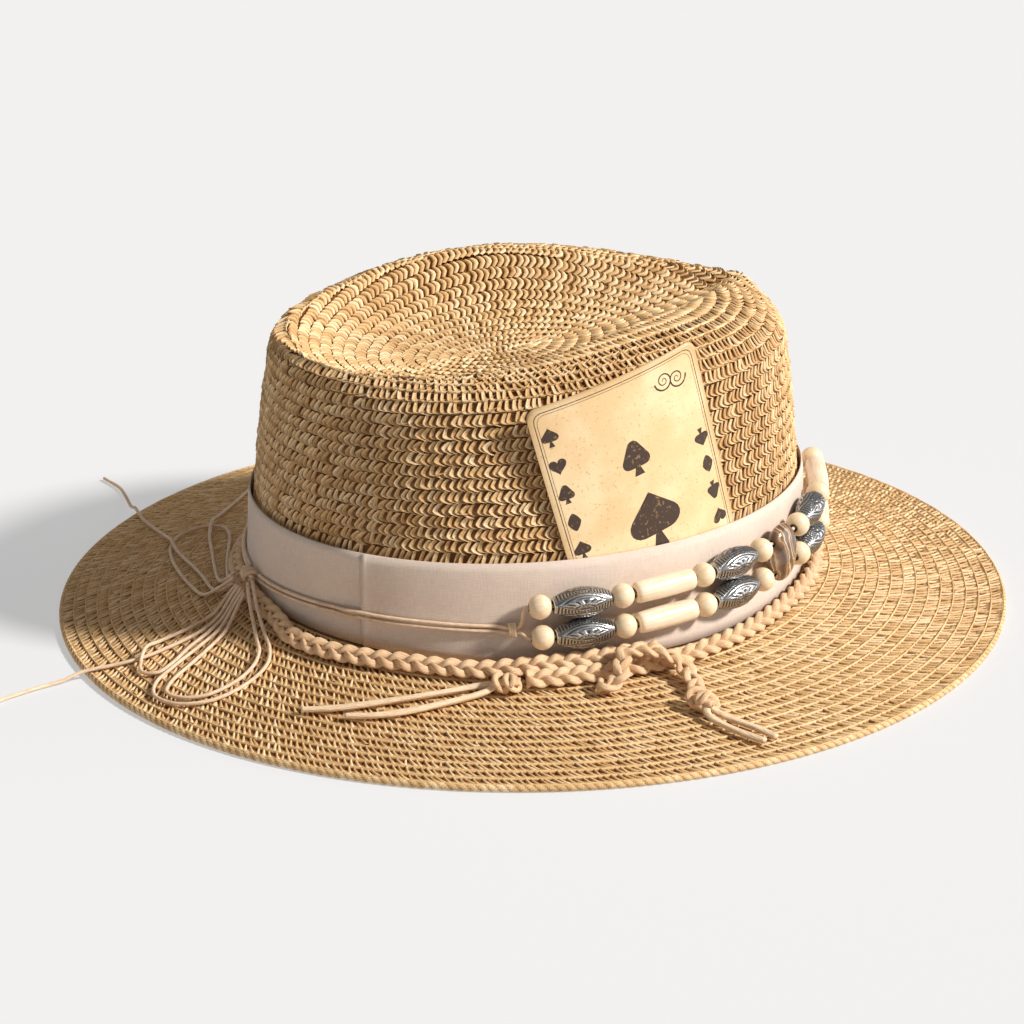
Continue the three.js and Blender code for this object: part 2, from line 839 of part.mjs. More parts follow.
// One side of a row: for each bead the angles of its two ends, then the angle where the string meets
// the wrap.
function rowPlaces(row, side) {
  let angle = stepAngle(strand.stoneAngle, row, bead.stoneLength / 2 + bead.gap, side);
  return BEAD_ORDER[side < 0 ? "back" : "front"].map((kind) => {
    const from = angle;
    const to = stepAngle(from, row, BEAD_KINDS[kind].length, side);
    angle = stepAngle(to, row, bead.gap, side);
    return { kind, from, to };
  });
}

function spanMesh(name, geometry, material, from, to, up) {
  const mesh = new THREE.Mesh(geometry, material);
  mesh.name = name;
  mesh.position.copy(from).add(to).multiplyScalar(0.5);
  const along = to.clone().sub(from).normalize();
  const outward = along.clone().cross(up).normalize();
  const upright = outward.clone().cross(along).normalize();
  mesh.quaternion.setFromRotationMatrix(new THREE.Matrix4().makeBasis(outward, along, upright));
  return mesh;
}

function makeBeads() {
  const group = new THREE.Group();
  const up = new THREE.Vector3(0, 0, 1);
  const rows = { upper: 1, lower: -1 };
  for (const [rowName, row] of Object.entries(rows)) {
    for (const side of [-1, 1]) {
      rowPlaces(row, side).forEach(({ kind, from, to }, i) => {
        const { build, finish } = BEAD_KINDS[kind];
        const place = side < 0 ? "back" : "front";
        group.add(spanMesh(`bead_${kind}_${rowName}_${place}_${i + 1}`, build(), finish(),
          rowPoint(from, row), rowPoint(to, row), up));
      });
    }
  }
  const low = rowPoint(stepAngle(strand.stoneAngle, 0, bead.stoneLength / 2, -1), 0);
  const high = rowPoint(stepAngle(strand.stoneAngle, 0, bead.stoneLength / 2, 1), 0);
  const lean = rowPoint(strand.stoneAngle, 1).sub(rowPoint(strand.stoneAngle, -1)).normalize();
  group.add(spanMesh("agate_stone", stoneBead(), surface("stone", 0.15), low, high, lean));
  return group;
}

// The strings through the beads, round the hat and back to the knot
class ThroughPoints extends THREE.Curve {
  constructor(points) {
    super();
    this.points = points;
  }

  getPoint(share, target = new THREE.Vector3()) {
    const place = share * (this.points.length - 1);
    const i = Math.min(Math.floor(place), this.points.length - 2);
    return target.copy(this.points[i]).lerp(this.points[i + 1], place - i);
  }

  getUtoTmapping(share) {
    return share;
  }
}

function stringBy(angle, height, row) {
  const layer = Math.max(...[0, 3, 6].map((ahead) => ribbonThickness(degrees(angle + ahead))));
  const out = onRibbon - ribbon.thickness + layer + string.diameter / 2 + strand.sagAllowance;
  return wallPoint(degrees(angle), height + (row * strand.pairGap) / 2, out);
}

// Splits a run of stops so that no step turns further than the longest one.
function finerRun(stops) {
  const run = [stops[0]];
  for (let i = 1; i < stops.length; i += 1) {
    const from = stops[i - 1];
    const parts = Math.ceil(Math.abs(stops[i].angle - from.angle) / strand.longestStep);
    for (let k = 1; k <= parts; k += 1) {
      run.push({
        angle: mix(from.angle, stops[i].angle, k / parts),
        height: mix(from.height, stops[i].height, k / parts),
      });
    }
  }
  return run;
}

function wrapAngle(side) {
  const end = rowPlaces(-1, side).at(-1).to;
  return stepAngle(end, -1, strand.wrapGap + strand.wrapLength / 2, side);
}

function wrapPoint(side, end, row) {
  const height = side < 0 ? strand.backWrapHeight : strand.frontWrapHeight;
  const middle = wrapAngle(side);
  const angle = stepAngle(middle, -1, (strand.wrapLength / 2) * Math.abs(end), side * Math.sign(end));
  const out = onRibbon + strand.wrapDiameter / 2 + strand.sagAllowance / 2;
  return wallPoint(degrees(angle), height + (row * strand.pairGap) / 2, out);
}

function strandRoute(row) {
  const radius = crown.footHalfWidth + onRibbon;
  const knotReach = THREE.MathUtils.radToDeg((bowKnot.width / 2 + clearance) / radius);
  const atKnot = { angle: bowKnot.angle, height: bowKnot.height };
  const backRun = finerRun([
    ...STRING_BACK_RUN, { ...atKnot, angle: bowKnot.angle - 360 + knotReach },
  ]);
  const farRun = finerRun([...STRING_FAR_RUN, { ...atKnot, angle: bowKnot.angle - knotReach }]);
  const points = backRun.reverse().map((stop) => stringBy(stop.angle, stop.height, row));
  const lead = (side) => rowPoint(stepAngle(rowPlaces(row, side).at(-1).to, row, bead.straightLead, side), row);
  points.push(wrapPoint(-1, strand.wrapLead, row), wrapPoint(-1, -strand.wrapLead, row), lead(-1));
  for (const { from, to } of rowPlaces(row, -1).reverse()) points.push(rowPoint(to, row), rowPoint(from, row));
  for (const { from, to } of rowPlaces(row, 1)) points.push(rowPoint(from, row), rowPoint(to, row));
  points.push(lead(1), wrapPoint(1, -strand.wrapLead, row), wrapPoint(1, strand.wrapLead, row));
  for (const stop of farRun) points.push(stringBy(stop.angle, stop.height, row));
  return points;
}

function makeStrand(row) {
  const path = new ThroughPoints(strandRoute(row));
  return tubeOn(path, string.diameter, strand.sides, path.points.length - 1);
}

function wrapRing() {
  const inner = ((strand.pairGap + string.diameter) / 2 + clearance) / Math.cos(Math.PI / bead.sides);
  const outer = strand.wrapDiameter / 2;
  const half = strand.wrapLength / 2;
  const cut = (outer - inner) / 2;
  return turned([
    [inner, -half], [outer - cut, -half], [outer, 0], [outer - cut, half], [inner, half],
  ]);
}

function knotPoint(outwards) {
  return wallPoint(degrees(bowKnot.angle), bowKnot.height, onRibbon + outwards);
}

// The hat
function named(name, geometry, material) {
  const mesh = new THREE.Mesh(geometry, material);
  mesh.name = name;
  return mesh;
}

function laidKnot(name, knot) {
  const mesh = named(name, makeKnot(knot), surface("cord", 0.7));
  mesh.position.set(knot.x, knot.y, restAt(knot.x, knot.y) + knot.over);
  mesh.rotation.set(Math.PI / 2, degrees(knot.turn), 0, "ZXY");
  return mesh;
}

function makeHat() {
  const hat = new THREE.Group();
  const crownPieces = makeCrown();
  hat.add(named("straw_crown", crownPieces.side, surface("straw", 0.8)));
  hat.add(named("straw_crown_top", crownPieces.top, surface("straw", 0.8)));
  hat.add(named("straw_brim", makeBrim(), surface("straw", 0.8)));
  hat.add(named("ribbon_band", makeRibbon(), surface("ribbon", 0.85)));
  hat.add(named("playing_card", makeCard(), surface("card", 0.6)));
  hat.add(named("braid_cord", makeBraid(), surface("cord", 0.7)));
  const hitch = tubeByStep(laidPoints(BRAID_END_ROUTE), braid.diameter, braid.sides, braid.step / 3);
  hat.add(named("braid_end", hitch, surface("cord", 0.7)));
  hat.add(laidKnot("braid_knot_left", leftKnot));
  hat.add(laidKnot("braid_knot_right", rightKnot));
  for (const [name, route] of Object.entries(TAIL_ROUTES)) {
    const tube = tubeByStep(laidPoints(route), tail.diameter, tail.sides, tail.step);
    hat.add(named(name, tube, surface("cord", 0.7)));
  }
  hat.add(makeBeads());
  for (const [name, row] of Object.entries({ strand_upper: 1, strand_lower: -1 })) {
    hat.add(named(name, makeStrand(row), surface("cord", 0.7)));
  }
  for (const [name, side] of Object.entries({ strand_wrap_back: -1, strand_wrap_front: 1 })) {
    const up = new THREE.Vector3(0, 0, 1);
    hat.add(spanMesh(name, wrapRing(), surface("cord", 0.7), wrapPoint(side, -1, 0), wrapPoint(side, 1, 0), up));
  }
  const knot = named("bow_knot", new THREE.SphereGeometry(0.5, 10, 7), surface("cord", 0.7));
  knot.scale.set(bowKnot.depth, bowKnot.width, bowKnot.tall);
  knot.position.copy(knotPoint(bowKnot.depth / 2));
  knot.rotation.z = degrees(bowKnot.angle);
  hat.add(knot);
  for (const [name, route] of Object.entries(STRING_ROUTES)) {
    const tube = tubeByStep(laidPoints(route), string.diameter, looseString.sides, looseString.step);
    hat.add(named(name, tube, surface("cord", 0.7)));
  }
  return hat;
}

export default makeHat();
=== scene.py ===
"""A sewn straw hat with a ribbon, a beaded string, a tucked card and a braided cord, dressed over its CAD frame."""

import itertools
import logging
import math
from collections.abc import Iterable, Sequence
from dataclasses import dataclass, field
from enum import Enum

import bmesh
import bpy
import numpy as np
from mathutils import Matrix, Vector

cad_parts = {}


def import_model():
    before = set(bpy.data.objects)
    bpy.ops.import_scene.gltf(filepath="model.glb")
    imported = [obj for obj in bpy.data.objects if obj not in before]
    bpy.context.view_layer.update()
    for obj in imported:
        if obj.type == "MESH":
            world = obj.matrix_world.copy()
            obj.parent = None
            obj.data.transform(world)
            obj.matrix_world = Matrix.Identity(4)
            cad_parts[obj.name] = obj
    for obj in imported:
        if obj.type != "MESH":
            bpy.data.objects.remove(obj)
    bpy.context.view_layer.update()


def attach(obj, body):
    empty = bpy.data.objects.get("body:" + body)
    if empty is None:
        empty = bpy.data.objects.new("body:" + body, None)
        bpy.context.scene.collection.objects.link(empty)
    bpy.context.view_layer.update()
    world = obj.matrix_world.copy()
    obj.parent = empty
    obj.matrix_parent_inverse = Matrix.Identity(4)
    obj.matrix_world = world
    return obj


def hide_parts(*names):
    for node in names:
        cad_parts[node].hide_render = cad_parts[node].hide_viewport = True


log = logging.getLogger("straw_hat")

MM = 0.001
UP = np.array([0.0, 0.0, 1.0])
NEARLY_PARALLEL = 0.95
HALVINGS = 30
RIBBON_TOP = 47.8
RIBBON_STAND_OFF = 1.15
RIBBON_THICKNESS = 0.8
Colour = tuple[float, float, float]
Route = Sequence[tuple[float, float, float]]

# ---------------------------------------------------------------- routes, in millimetres
# x, y and the height of the cord's middle over what lies under it, as in the part's source.

BRAID_FRONT_ROUTE: Route = [
    (-57.6, -90.2, 3.4), (-46.4, -93.6, 3.2), (-33, -96.4, 3.0), (-18, -98.4, 2.9), (-3, -98.6, 2.9),
    (19.3, -94.6, 2.9), (37.5, -88, 2.9), (61.1, -74.6, 2.9), (78, -60, 2.9),
]
BRAID_BACK_ROUTE: Route = [
    (-108.2, -12, 2.9), (-109.4, -24.5, 2.9), (-104.8, -38.8, 2.9), (-95.9, -52.2, 3.0), (-85.9, -62.5, 3.0),
    (-77.6, -70.4, 3.0), (-67.6, -78.6, 3.4), (-54.7, -84.9, 4.4), (-42.9, -88.4, 4.6), (-29.2, -91.0, 4.6),
    (-18, -92.4, 4.3), (-9, -92.8, 3.6),
]
BRAID_END_ROUTE: Route = [
    (-38, -102.2, 2.9), (-35.6, -104.4, 3.0), (-31.6, -104.6, 4.6), (-28.4, -101.8, 7.3), (-25.2, -98.4, 8.8),
    (-20, -98.6, 9.0), (-14.6, -100.8, 8.6), (-10.0, -103.6, 7.0), (-7.4, -106.4, 4.4), (-7.6, -112.6, 3.0),
    (-9.7, -118.4, 2.9),
]
TAIL_ROUTES: dict[str, Route] = {
    "tail_left_long": [
        (-71.2, -84.6, 2.2), (-83.5, -80.9, 1.7), (-99.9, -75.8, 1.7), (-115.2, -69.7, 1.7), (-125.5, -63.2, 1.7)],
    "tail_left_short": [
        (-71.4, -88.2, 2.2), (-86.4, -86.2, 1.7), (-100.6, -83.1, 1.7), (-110.2, -78.6, 1.7), (-115.7, -74.6, 1.7)],
    "tail_right_long": [
        (-10.6, -131.2, 2.6), (-8.2, -135.2, 1.9), (-5.9, -139.2, 1.7), (-2.8, -145, 1.7), (-0.8, -150.8, 1.7)],
    "tail_right_short": [
        (-14.2, -131.2, 2.6), (-12.9, -136, 1.9), (-10.4, -142, 1.7), (-7.4, -147.6, 1.7), (-5.4, -151.2, 1.7)],
}
TAIL_STARTS = {"tail_left": (-66.4, -88.2, 3.6), "tail_right": (-12.0, -127.0, 3.6)}
# A knot's place, its length, width and height, and which way it points, in degrees.
BRAID_KNOTS = {
    "braid_knot_left": ((-64.6, -89.2, 3.7), (10.0, 7.6, 6.4), 150.0),
    "braid_knot_right": ((-12.4, -125.0, 3.8), (11.0, 8.0, 6.8), 105.0),
}
STRING_ROUTES: dict[str, Route] = {
    "string_end_low": [
        (-110.9, 10.7, 7.8), (-114.6, 10.2, 4.8), (-118.8, 8.4, 2.0), (-124, 6.0, 1.0), (-130.5, 3.9, 1.0),
        (-140.5, 3.0, 1.0), (-150.4, 3.2, 1.0), (-159.5, 5.4, 1.0), (-166.6, 7.6, 1.0), (-171, 8.6, 3.0),
        (-177.5, 9.0, 1.3), (-185.3, 8.6, 1.0), (-193, 7.3, 1.0), (-200.7, 5.6, 1.0), (-206, 3.9, 1.0)],
    "string_end_high": [
        (-111.0, 14.6, 7.6), (-113.0, 21, 3.6), (-112.0, 30, 1.2), (-109.6, 41, 1.0), (-107.4, 53, 1.0),
        (-105.4, 66, 1.0), (-103.9, 76, 1.8), (-102, 84, 2.9), (-100, 92, 1.7), (-98.3, 104, 1.0),
        (-96.4, 120.4, 1.0), (-94.4, 129.5, 1.3), (-93, 135.2, 3.2), (-91.8, 141, 1.4), (-89, 152, 1.0),
        (-87.1, 161.4, 1.0), (-88, 174.1, 1.0)],
    "string_end_back": [
        (-110.9, 15.8, 9.8), (-110.4, 24, 5.2), (-107.8, 33, 1.7), (-104.2, 43, 1.0), (-100.2, 53, 1.0),
        (-95.5, 64, 1.0), (-91, 75, 1.0), (-86.8, 83.6, 1.8), (-82.6, 90.6, 2.9), (-77, 97.4, 1.7),
        (-70, 105, 1.0), (-60, 114.5, 1.0), (-50.8, 123.7, 1.0), (-43, 131, 1.0)],
    "bow_loop_high": [
        (-109.2, 17.0, 9.8), (-107.6, 24, 6.0), (-105.2, 31, 2.4), (-101.4, 39.4, 1.0), (-96.4, 49.6, 1.0),
        (-90.8, 60, 1.0), (-85.2, 70.6, 1.0), (-81.4, 81, 1.0), (-81.8, 89.6, 1.0), (-88.4, 93.2, 1.0),
        (-96.4, 90.2, 1.0), (-103.6, 81.2, 1.0), (-109, 68, 1.0), (-112.8, 54, 1.0), (-115.4, 40, 1.0),
        (-116.4, 28, 1.3), (-115.8, 20.2, 4.8), (-111.4, 13.5, 9.9)],
    "bow_loop_slim": [
        (-110.9, 12.5, 7.6), (-115.4, 12.2, 4.4), (-120, 11, 1.6), (-126, 10, 1.0), (-134, 9.4, 1.0),
        (-142.6, 8.6, 1.4), (-148.6, 4.9, 3.3), (-153.2, -0.6, 1.6), (-155, -6.0, 1.0), (-151.4, -9.9, 1.0),
        (-145, -7.8, 1.0), (-136, -2.4, 1.0), (-127, 1.6, 1.0), (-119.6, 5.2, 1.8), (-114.4, 8.0, 4.6),
        (-110.8, 8.9, 7.6)],
    "bow_loop_outer": [
        (-108.2, 5.9, 9.6), (-109.9, 1.0, 7.6), (-111.4, -3.5, 5.8), (-112.8, -8.6, 3.8), (-114.6, -16, 1.5),
        (-117, -24, 1.0), (-122.2, -32, 1.0), (-133, -37.6, 1.0), (-146, -38.4, 1.0), (-155.4, -32.6, 1.0),
        (-158.6, -23.4, 1.0), (-154.8, -15.8, 1.0), (-145.6, -10.2, 1.0), (-134, -4.8, 1.0), (-122.8, 0.6, 1.3),
        (-115.8, 5.0, 4.2), (-110.9, 7.1, 7.2)],
    "bow_loop_inner": [
        (-109.8, 6.3, 9.6), (-111.7, 1.7, 7.2), (-113.4, -3, 5.4), (-115.2, -8.6, 3.0), (-117.6, -15.6, 1.2),
        (-120.4, -23, 1.0), (-126.2, -29.6, 1.0), (-135, -33.8, 1.0), (-145.8, -34.4, 1.0), (-152.6, -30, 1.0),
        (-154.6, -23.8, 1.0), (-150.6, -18.8, 1.0), (-141.8, -13.6, 1.0), (-132, -8.4, 1.0), (-122.4, -2.4, 1.2),
        (-116.6, 2.0, 3.9), (-111.5, 5.2, 7.1)],
}
STRING_BACK_RUN = [(-122.3, 26.0), (-136.0, 26.4), (-150.7, 26.6), (-167.4, 25.3)]
STRING_FAR_RUN = [(-7.0, 32.8), (7.0, 32.2), (20.0, 31.0), (60.0, 28.0), (110.0, 26.4), (150.0, 24.8)]


# ---------------------------------------------------------------- small mesh tools


def unit(v: np.ndarray) -> np.ndarray:
    """Vectors along the last axis, scaled to length one."""
    return v / np.maximum(np.linalg.norm(v, axis=-1, keepdims=True), 1e-12)


def smooth_path(points: np.ndarray, step: float) -> np.ndarray:
    """Runs a centripetal Catmull-Rom curve through points and samples it evenly.

    Args:
        points: The route's points, one a row.
        step: The distance between samples.

    Returns:
        The samples, from the first point to the last.
    """
    ends = np.vstack([2 * points[0] - points[1], points, 2 * points[-1] - points[-2]])
    fine: list[np.ndarray] = []
    for p0, p1, p2, p3 in zip(ends, ends[1:], ends[2:], ends[3:]):
        t1 = np.linalg.norm(p1 - p0) ** 0.5
        t2 = t1 + np.linalg.norm(p2 - p1) ** 0.5
        t3 = t2 + np.linalg.norm(p3 - p2) ** 0.5
        t = np.linspace(t1, t2, 16, endpoint=False)[:, None]
        a1, a2 = p0 + (p1 - p0) * t / t1, p1 + (p2 - p1) * (t - t1) / (t2 - t1)
        a3 = p2 + (p3 - p2) * (t - t2) / (t3 - t2)
        b1, b2 = a1 + (a2 - a1) * t / t2, a2 + (a3 - a2) * (t - t1) / (t3 - t1)
        fine.append(b1 + (b2 - b1) * (t - t1) / (t2 - t1))
    return even_steps(np.vstack([*fine, points[-1:]]), step)


def walked_along(line: np.ndarray) -> np.ndarray:
    """How far each point lies along its line; the last two axes are points and coordinates."""
    steps = np.cumsum(np.linalg.norm(np.diff(line, axis=-2), axis=-1), axis=-1)
    return np.concatenate([np.zeros((*steps.shape[:-1], 1)), steps], axis=-1)


def read_along(at: np.ndarray, walked: np.ndarray, values: np.ndarray) -> np.ndarray:
    """Vectors read off a line at given distances along it."""
    return np.stack([np.interp(at, walked, values[:, k]) for k in range(3)], axis=-1)


def even_steps(line: np.ndarray, step: float) -> np.ndarray:
    """The same line with its points a step apart.

    Args:
        line: The line's points, one a row.
        step: About how far apart they are to be.

    Returns:
        The new points.
    """
    walked = walked_along(line)
    at = np.linspace(0, walked[-1], max(int(round(walked[-1] / step)), 3) + 1)
    return read_along(at, walked, line)


def full_turn(count: int) -> np.ndarray:
    """Even angles round a circle, in radians, without the last that meets the first."""
    return np.arange(count) / count * 2 * np.pi


def heading(degrees: float) -> np.ndarray:
    """The level direction at an angle from the x axis."""
    return np.array([math.cos(math.radians(degrees)), math.sin(math.radians(degrees)), 0])


def line_length(line: np.ndarray) -> float:
    """The length of a polyline."""
    return float(np.linalg.norm(np.diff(line, axis=0), axis=1).sum())


def carried_frames(line: np.ndarray) -> tuple[np.ndarray, np.ndarray]:
    """Side and up directions carried along a line without twist.

    Args:
        line: The line's points.

    Returns:
        The side directions and the up directions.
    """
    along = unit(np.gradient(line, axis=0))
    up = UP if abs(UP @ along[0]) <= NEARLY_PARALLEL else np.array([0.0, 1, 0])
    ups = np.empty_like(line)
    for i, t in enumerate(along):
        up = unit(up - t * (up @ t))
        ups[i] = up
    return np.cross(along, ups), ups


def level_frames(line: np.ndarray) -> tuple[np.ndarray, np.ndarray]:
    """Side and up directions for a cord that lies flat: its side stays level.

    Args:
        line: The cord's points, one a row.

    Returns:
        The side directions and the up directions.
    """
    along = unit(np.gradient(line, axis=0))
    side = unit(np.cross(along, UP))
    return side, np.cross(side, along)


def rolled(side: np.ndarray, up: np.ndarray, angle: np.ndarray | float) -> tuple[np.ndarray, np.ndarray]:
    """Side and up directions turned about their line, from side towards up."""
    cosine, sine = (np.reshape(f(angle), (-1, 1)) for f in (np.cos, np.sin))
    return side * cosine + up * sine, up * cosine - side * sine


@dataclass
class MeshBook:
    """Collects vertices, faces, UVs and one number a vertex, for a mesh with several shells."""

    verts: list[np.ndarray] = field(default_factory=list)
    faces: list[tuple[int, ...]] = field(default_factory=list)
    uvs: list[np.ndarray] = field(default_factory=list)
    marks: list[np.ndarray] = field(default_factory=list)
    count: int = 0

    def add(self, verts: np.ndarray, faces: Iterable[Sequence[int]], uvs: np.ndarray | None = None,
            marks: np.ndarray | None = None) -> None:
        """Adds a shell.

        Args:
            verts: Its points, in millimetres.
            faces: Its faces, as indices into verts.
            uvs: A UV for each point, or None.
            marks: A number for each point, or None.
        """
        self.faces.extend(tuple(i + self.count for i in face) for face in faces)
        self.verts.append(verts)
        self.uvs.append(np.zeros((len(verts), 2)) if uvs is None else uvs)
        self.marks.append(np.ones(len(verts)) if marks is None else marks)
        self.count += len(verts)

    def build(self, name: str, material: bpy.types.Material | None = None, smooth: bool = True,
              nodes: Sequence[str] = ()) -> bpy.types.Object:
        """Makes the object, with its place in its mesh and its marks in the attribute crest.

        Args:
            name: The object's name.
            material: Its material.
            smooth: Whether it is smooth shaded.
            nodes: The CAD nodes that it stands for.

        Returns:
            The new object.
        """
        mesh = bpy.data.meshes.new(name)
        mesh.from_pydata((np.concatenate(self.verts) * MM).tolist(), [], self.faces)
        uvs = np.concatenate(self.uvs)
        layer = mesh.uv_layers.new(name="UVMap")
        corner = np.empty(len(mesh.loops), dtype=np.int32)
        mesh.loops.foreach_get("vertex_index", corner)
        layer.data.foreach_set("uv", uvs[corner].astype(np.float32).ravel())
        put_numbers(mesh, "crest", np.concatenate(self.marks))
        mesh.polygons.foreach_set("use_smooth", [smooth] * len(mesh.polygons))
        mesh.update()
        made = placed(name, mesh, material)
        if nodes:
            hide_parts(*nodes)
        return made


def put_numbers(mesh: bpy.types.Mesh, name: str, values: np.ndarray) -> None:
    """Gives each point of a mesh a number, as a named attribute."""
    mesh.attributes.new(name, "FLOAT", "POINT").data.foreach_set("value", values.astype(np.float32))


def evaluated_mesh(made: bpy.types.Object) -> bpy.types.Mesh:
    """A plain mesh of an object as its modifiers leave it."""
    graph = bpy.context.evaluated_depsgraph_get()
    return bpy.data.meshes.new_from_object(made.evaluated_get(graph), depsgraph=graph)


def placed(name: str, mesh: bpy.types.Mesh, material: bpy.types.Material | None) -> bpy.types.Object:
    """Puts a mesh into the scene under a name, with one material.

    Args:
        name: The object's name.
        mesh: Its mesh.
        material: Its material, or None.

    Returns:
        The new object.
    """
    made = bpy.data.objects.new(name, mesh)
    bpy.context.scene.collection.objects.link(made)
    if material is not None:
        mesh.materials.append(material)
    return made


def grid_faces(rings: int, count: int, ring_loop: bool = False, line_loop: bool = True) -> list[tuple[int, ...]]:
    """Quads over a grid of rings.

    Args:
        rings: How many rings there are.
        count: How many points each has.
        ring_loop: Whether the last ring joins the first.
        line_loop: Whether each ring is closed.

    Returns:
        The faces, as indices of ring * count + point.
    """
    faces = []
    for r in range(rings if ring_loop else rings - 1):
        n = (r + 1) % rings
        for s in range(count if line_loop else count - 1):
            e = (s + 1) % count
            faces.append((r * count + s, r * count + e, n * count + e, n * count + s))
    return faces


def sweep(book: MeshBook, line: np.ndarray, side: np.ndarray, up: np.ndarray, section: np.ndarray,
          scale: np.ndarray | None = None) -> None:
    """Sweeps a closed section along a line into a capped tube.

    Args:
        book: The mesh that takes the tube.
        line: The line's points, in millimetres.
        side: The section's x direction at each point.
        up: The section's y direction at each point.
        section: The section's points, from x towards y.
        scale: The section's size at each point, or None for 1.
    """
    size = np.ones(len(line)) if scale is None else scale
    rings = (line[:, None] + side[:, None] * (section[None, :, :1] * size[:, None, None])
             + up[:, None] * (section[None, :, 1:] * size[:, None, None]))
    count = len(section)
    uv = np.stack(np.broadcast_arrays(walked_along(line)[:, None] * MM, np.arange(count)[None] / count), axis=-1)
    last = (len(line) - 1) * count
    caps = [tuple(range(count))[::-1], tuple(range(last, last + count))]
    faces = [face[::-1] for face in grid_faces(len(line), count) + caps]
    book.add(rings.reshape(-1, 3), faces, uv.reshape(-1, 2))


def round_section(radius: float, sides: int, flat: float = 1.0, lobes: int = 0, depth: float = 0.0) -> np.ndarray:
    """A closed section: a circle, flattened and fluted if asked.

    Args:
        radius: Half its width.
        sides: How many points it has.
        flat: Its height over its width.
        lobes: How many flutes run round it.
        depth: How deep the flutes are, as a share of the radius.

    Returns:
        Its points.
    """
    turn = full_turn(sides)
    r = radius * (1 - depth * (0.5 + 0.5 * np.cos(lobes * turn)))
    return np.stack([r * np.cos(turn), flat * r * np.sin(turn)], axis=1)


def spindle(low: np.ndarray, high: np.ndarray) -> tuple[np.ndarray, np.ndarray, np.ndarray]:
    """The direction from low to high, the upright direction square to it, and the one square to both.

    Args:
        low: Where the line starts.
        high: Where it ends.

    Returns:
        The three directions.
    """
    axis = unit(high - low)
    first = unit(np.cross(np.cross(axis, UP), axis))
    return axis, first, np.cross(axis, first)


def lathe(book: MeshBook, profile: np.ndarray, low: np.ndarray, high: np.ndarray, sides: int,
          bore_radius: float) -> None:
    """Turns a closed profile of (radius, share along) about the line from low to high.

    Args:
        book: The mesh that takes the solid.
        profile: The profile's points, closed from the last to the first.
        low: Where the bore's line starts.
        high: Where it ends.
        sides: How many points each ring has.
        bore_radius: Points nearer the line than this are marked for painted shade inside the bore.
    """
    _, first, second = spindle(low, high)
    turn = full_turn(sides)
    out = first * np.cos(turn)[:, None] + second * np.sin(turn)[:, None]
    middle = low + (high - low) * profile[:, 1:2]
    rings = middle[:, None] + out[None] * profile[:, 0][:, None, None]
    uv = np.stack(np.broadcast_arrays(profile[:, 1][:, None], turn[None] / (2 * np.pi)), axis=-1)
    # Painted shade: points inside the bore get mark 0, the rest 1.
    marks = np.repeat(np.where(profile[:, 0] < bore_radius, 0.0, 1.0), sides)
    book.add(rings.reshape(-1, 3), grid_faces(len(profile), sides, ring_loop=True), uv.reshape(-1, 2), marks)


# ---------------------------------------------------------------- shader tools

# The Mix node's sockets for colours.
MIX_FIRST, MIX_SECOND, MIX_RESULT = 6, 7, 2


class Socket:
    """A shader value that takes part in Python expressions."""

    def __init__(self, shader: "Shader", socket: bpy.types.NodeSocket) -> None:
        """Wraps a node's output."""
        self.shader = shader
        self.socket = socket

    def _math(self, operation: str, first: "Socket | float", second: "Socket | float" = 0.0) -> "Socket":
        """Adds one Math node."""
        return self.shader.out("ShaderNodeMath", {"operation": operation}, {0: first, 1: second})

    def __add__(self, other: "Socket | float") -> "Socket":
        """self + other."""
        return self._math("ADD", self, other)

    def __mul__(self, other: "Socket | float") -> "Socket":
        """self * other."""
        return self._math("MULTIPLY", self, other)

    def __sub__(self, other: "Socket | float") -> "Socket":
        """self - other."""
        return self._math("SUBTRACT", self, other)

    def __rsub__(self, other: float) -> "Socket":
        """other - self."""
        return self._math("SUBTRACT", other, self)

    def __pow__(self, other: "Socket | float") -> "Socket":
        """self to the power of other."""
        return self._math("POWER", self, other)

    def sine(self) -> "Socket":
        """The sine of self, in radians."""
        return self._math("SINE", self)

    def size(self) -> "Socket":
        """self without its sign."""
        return self._math("ABSOLUTE", self)

    def between(self, low: float, high: float) -> "Socket":
        """self mapped smoothly from low..high to 0..1."""
        return self.shader.out("ShaderNodeMapRange", {"interpolation_type": "SMOOTHSTEP"},
                               {"Value": self, "From Min": low, "From Max": high})


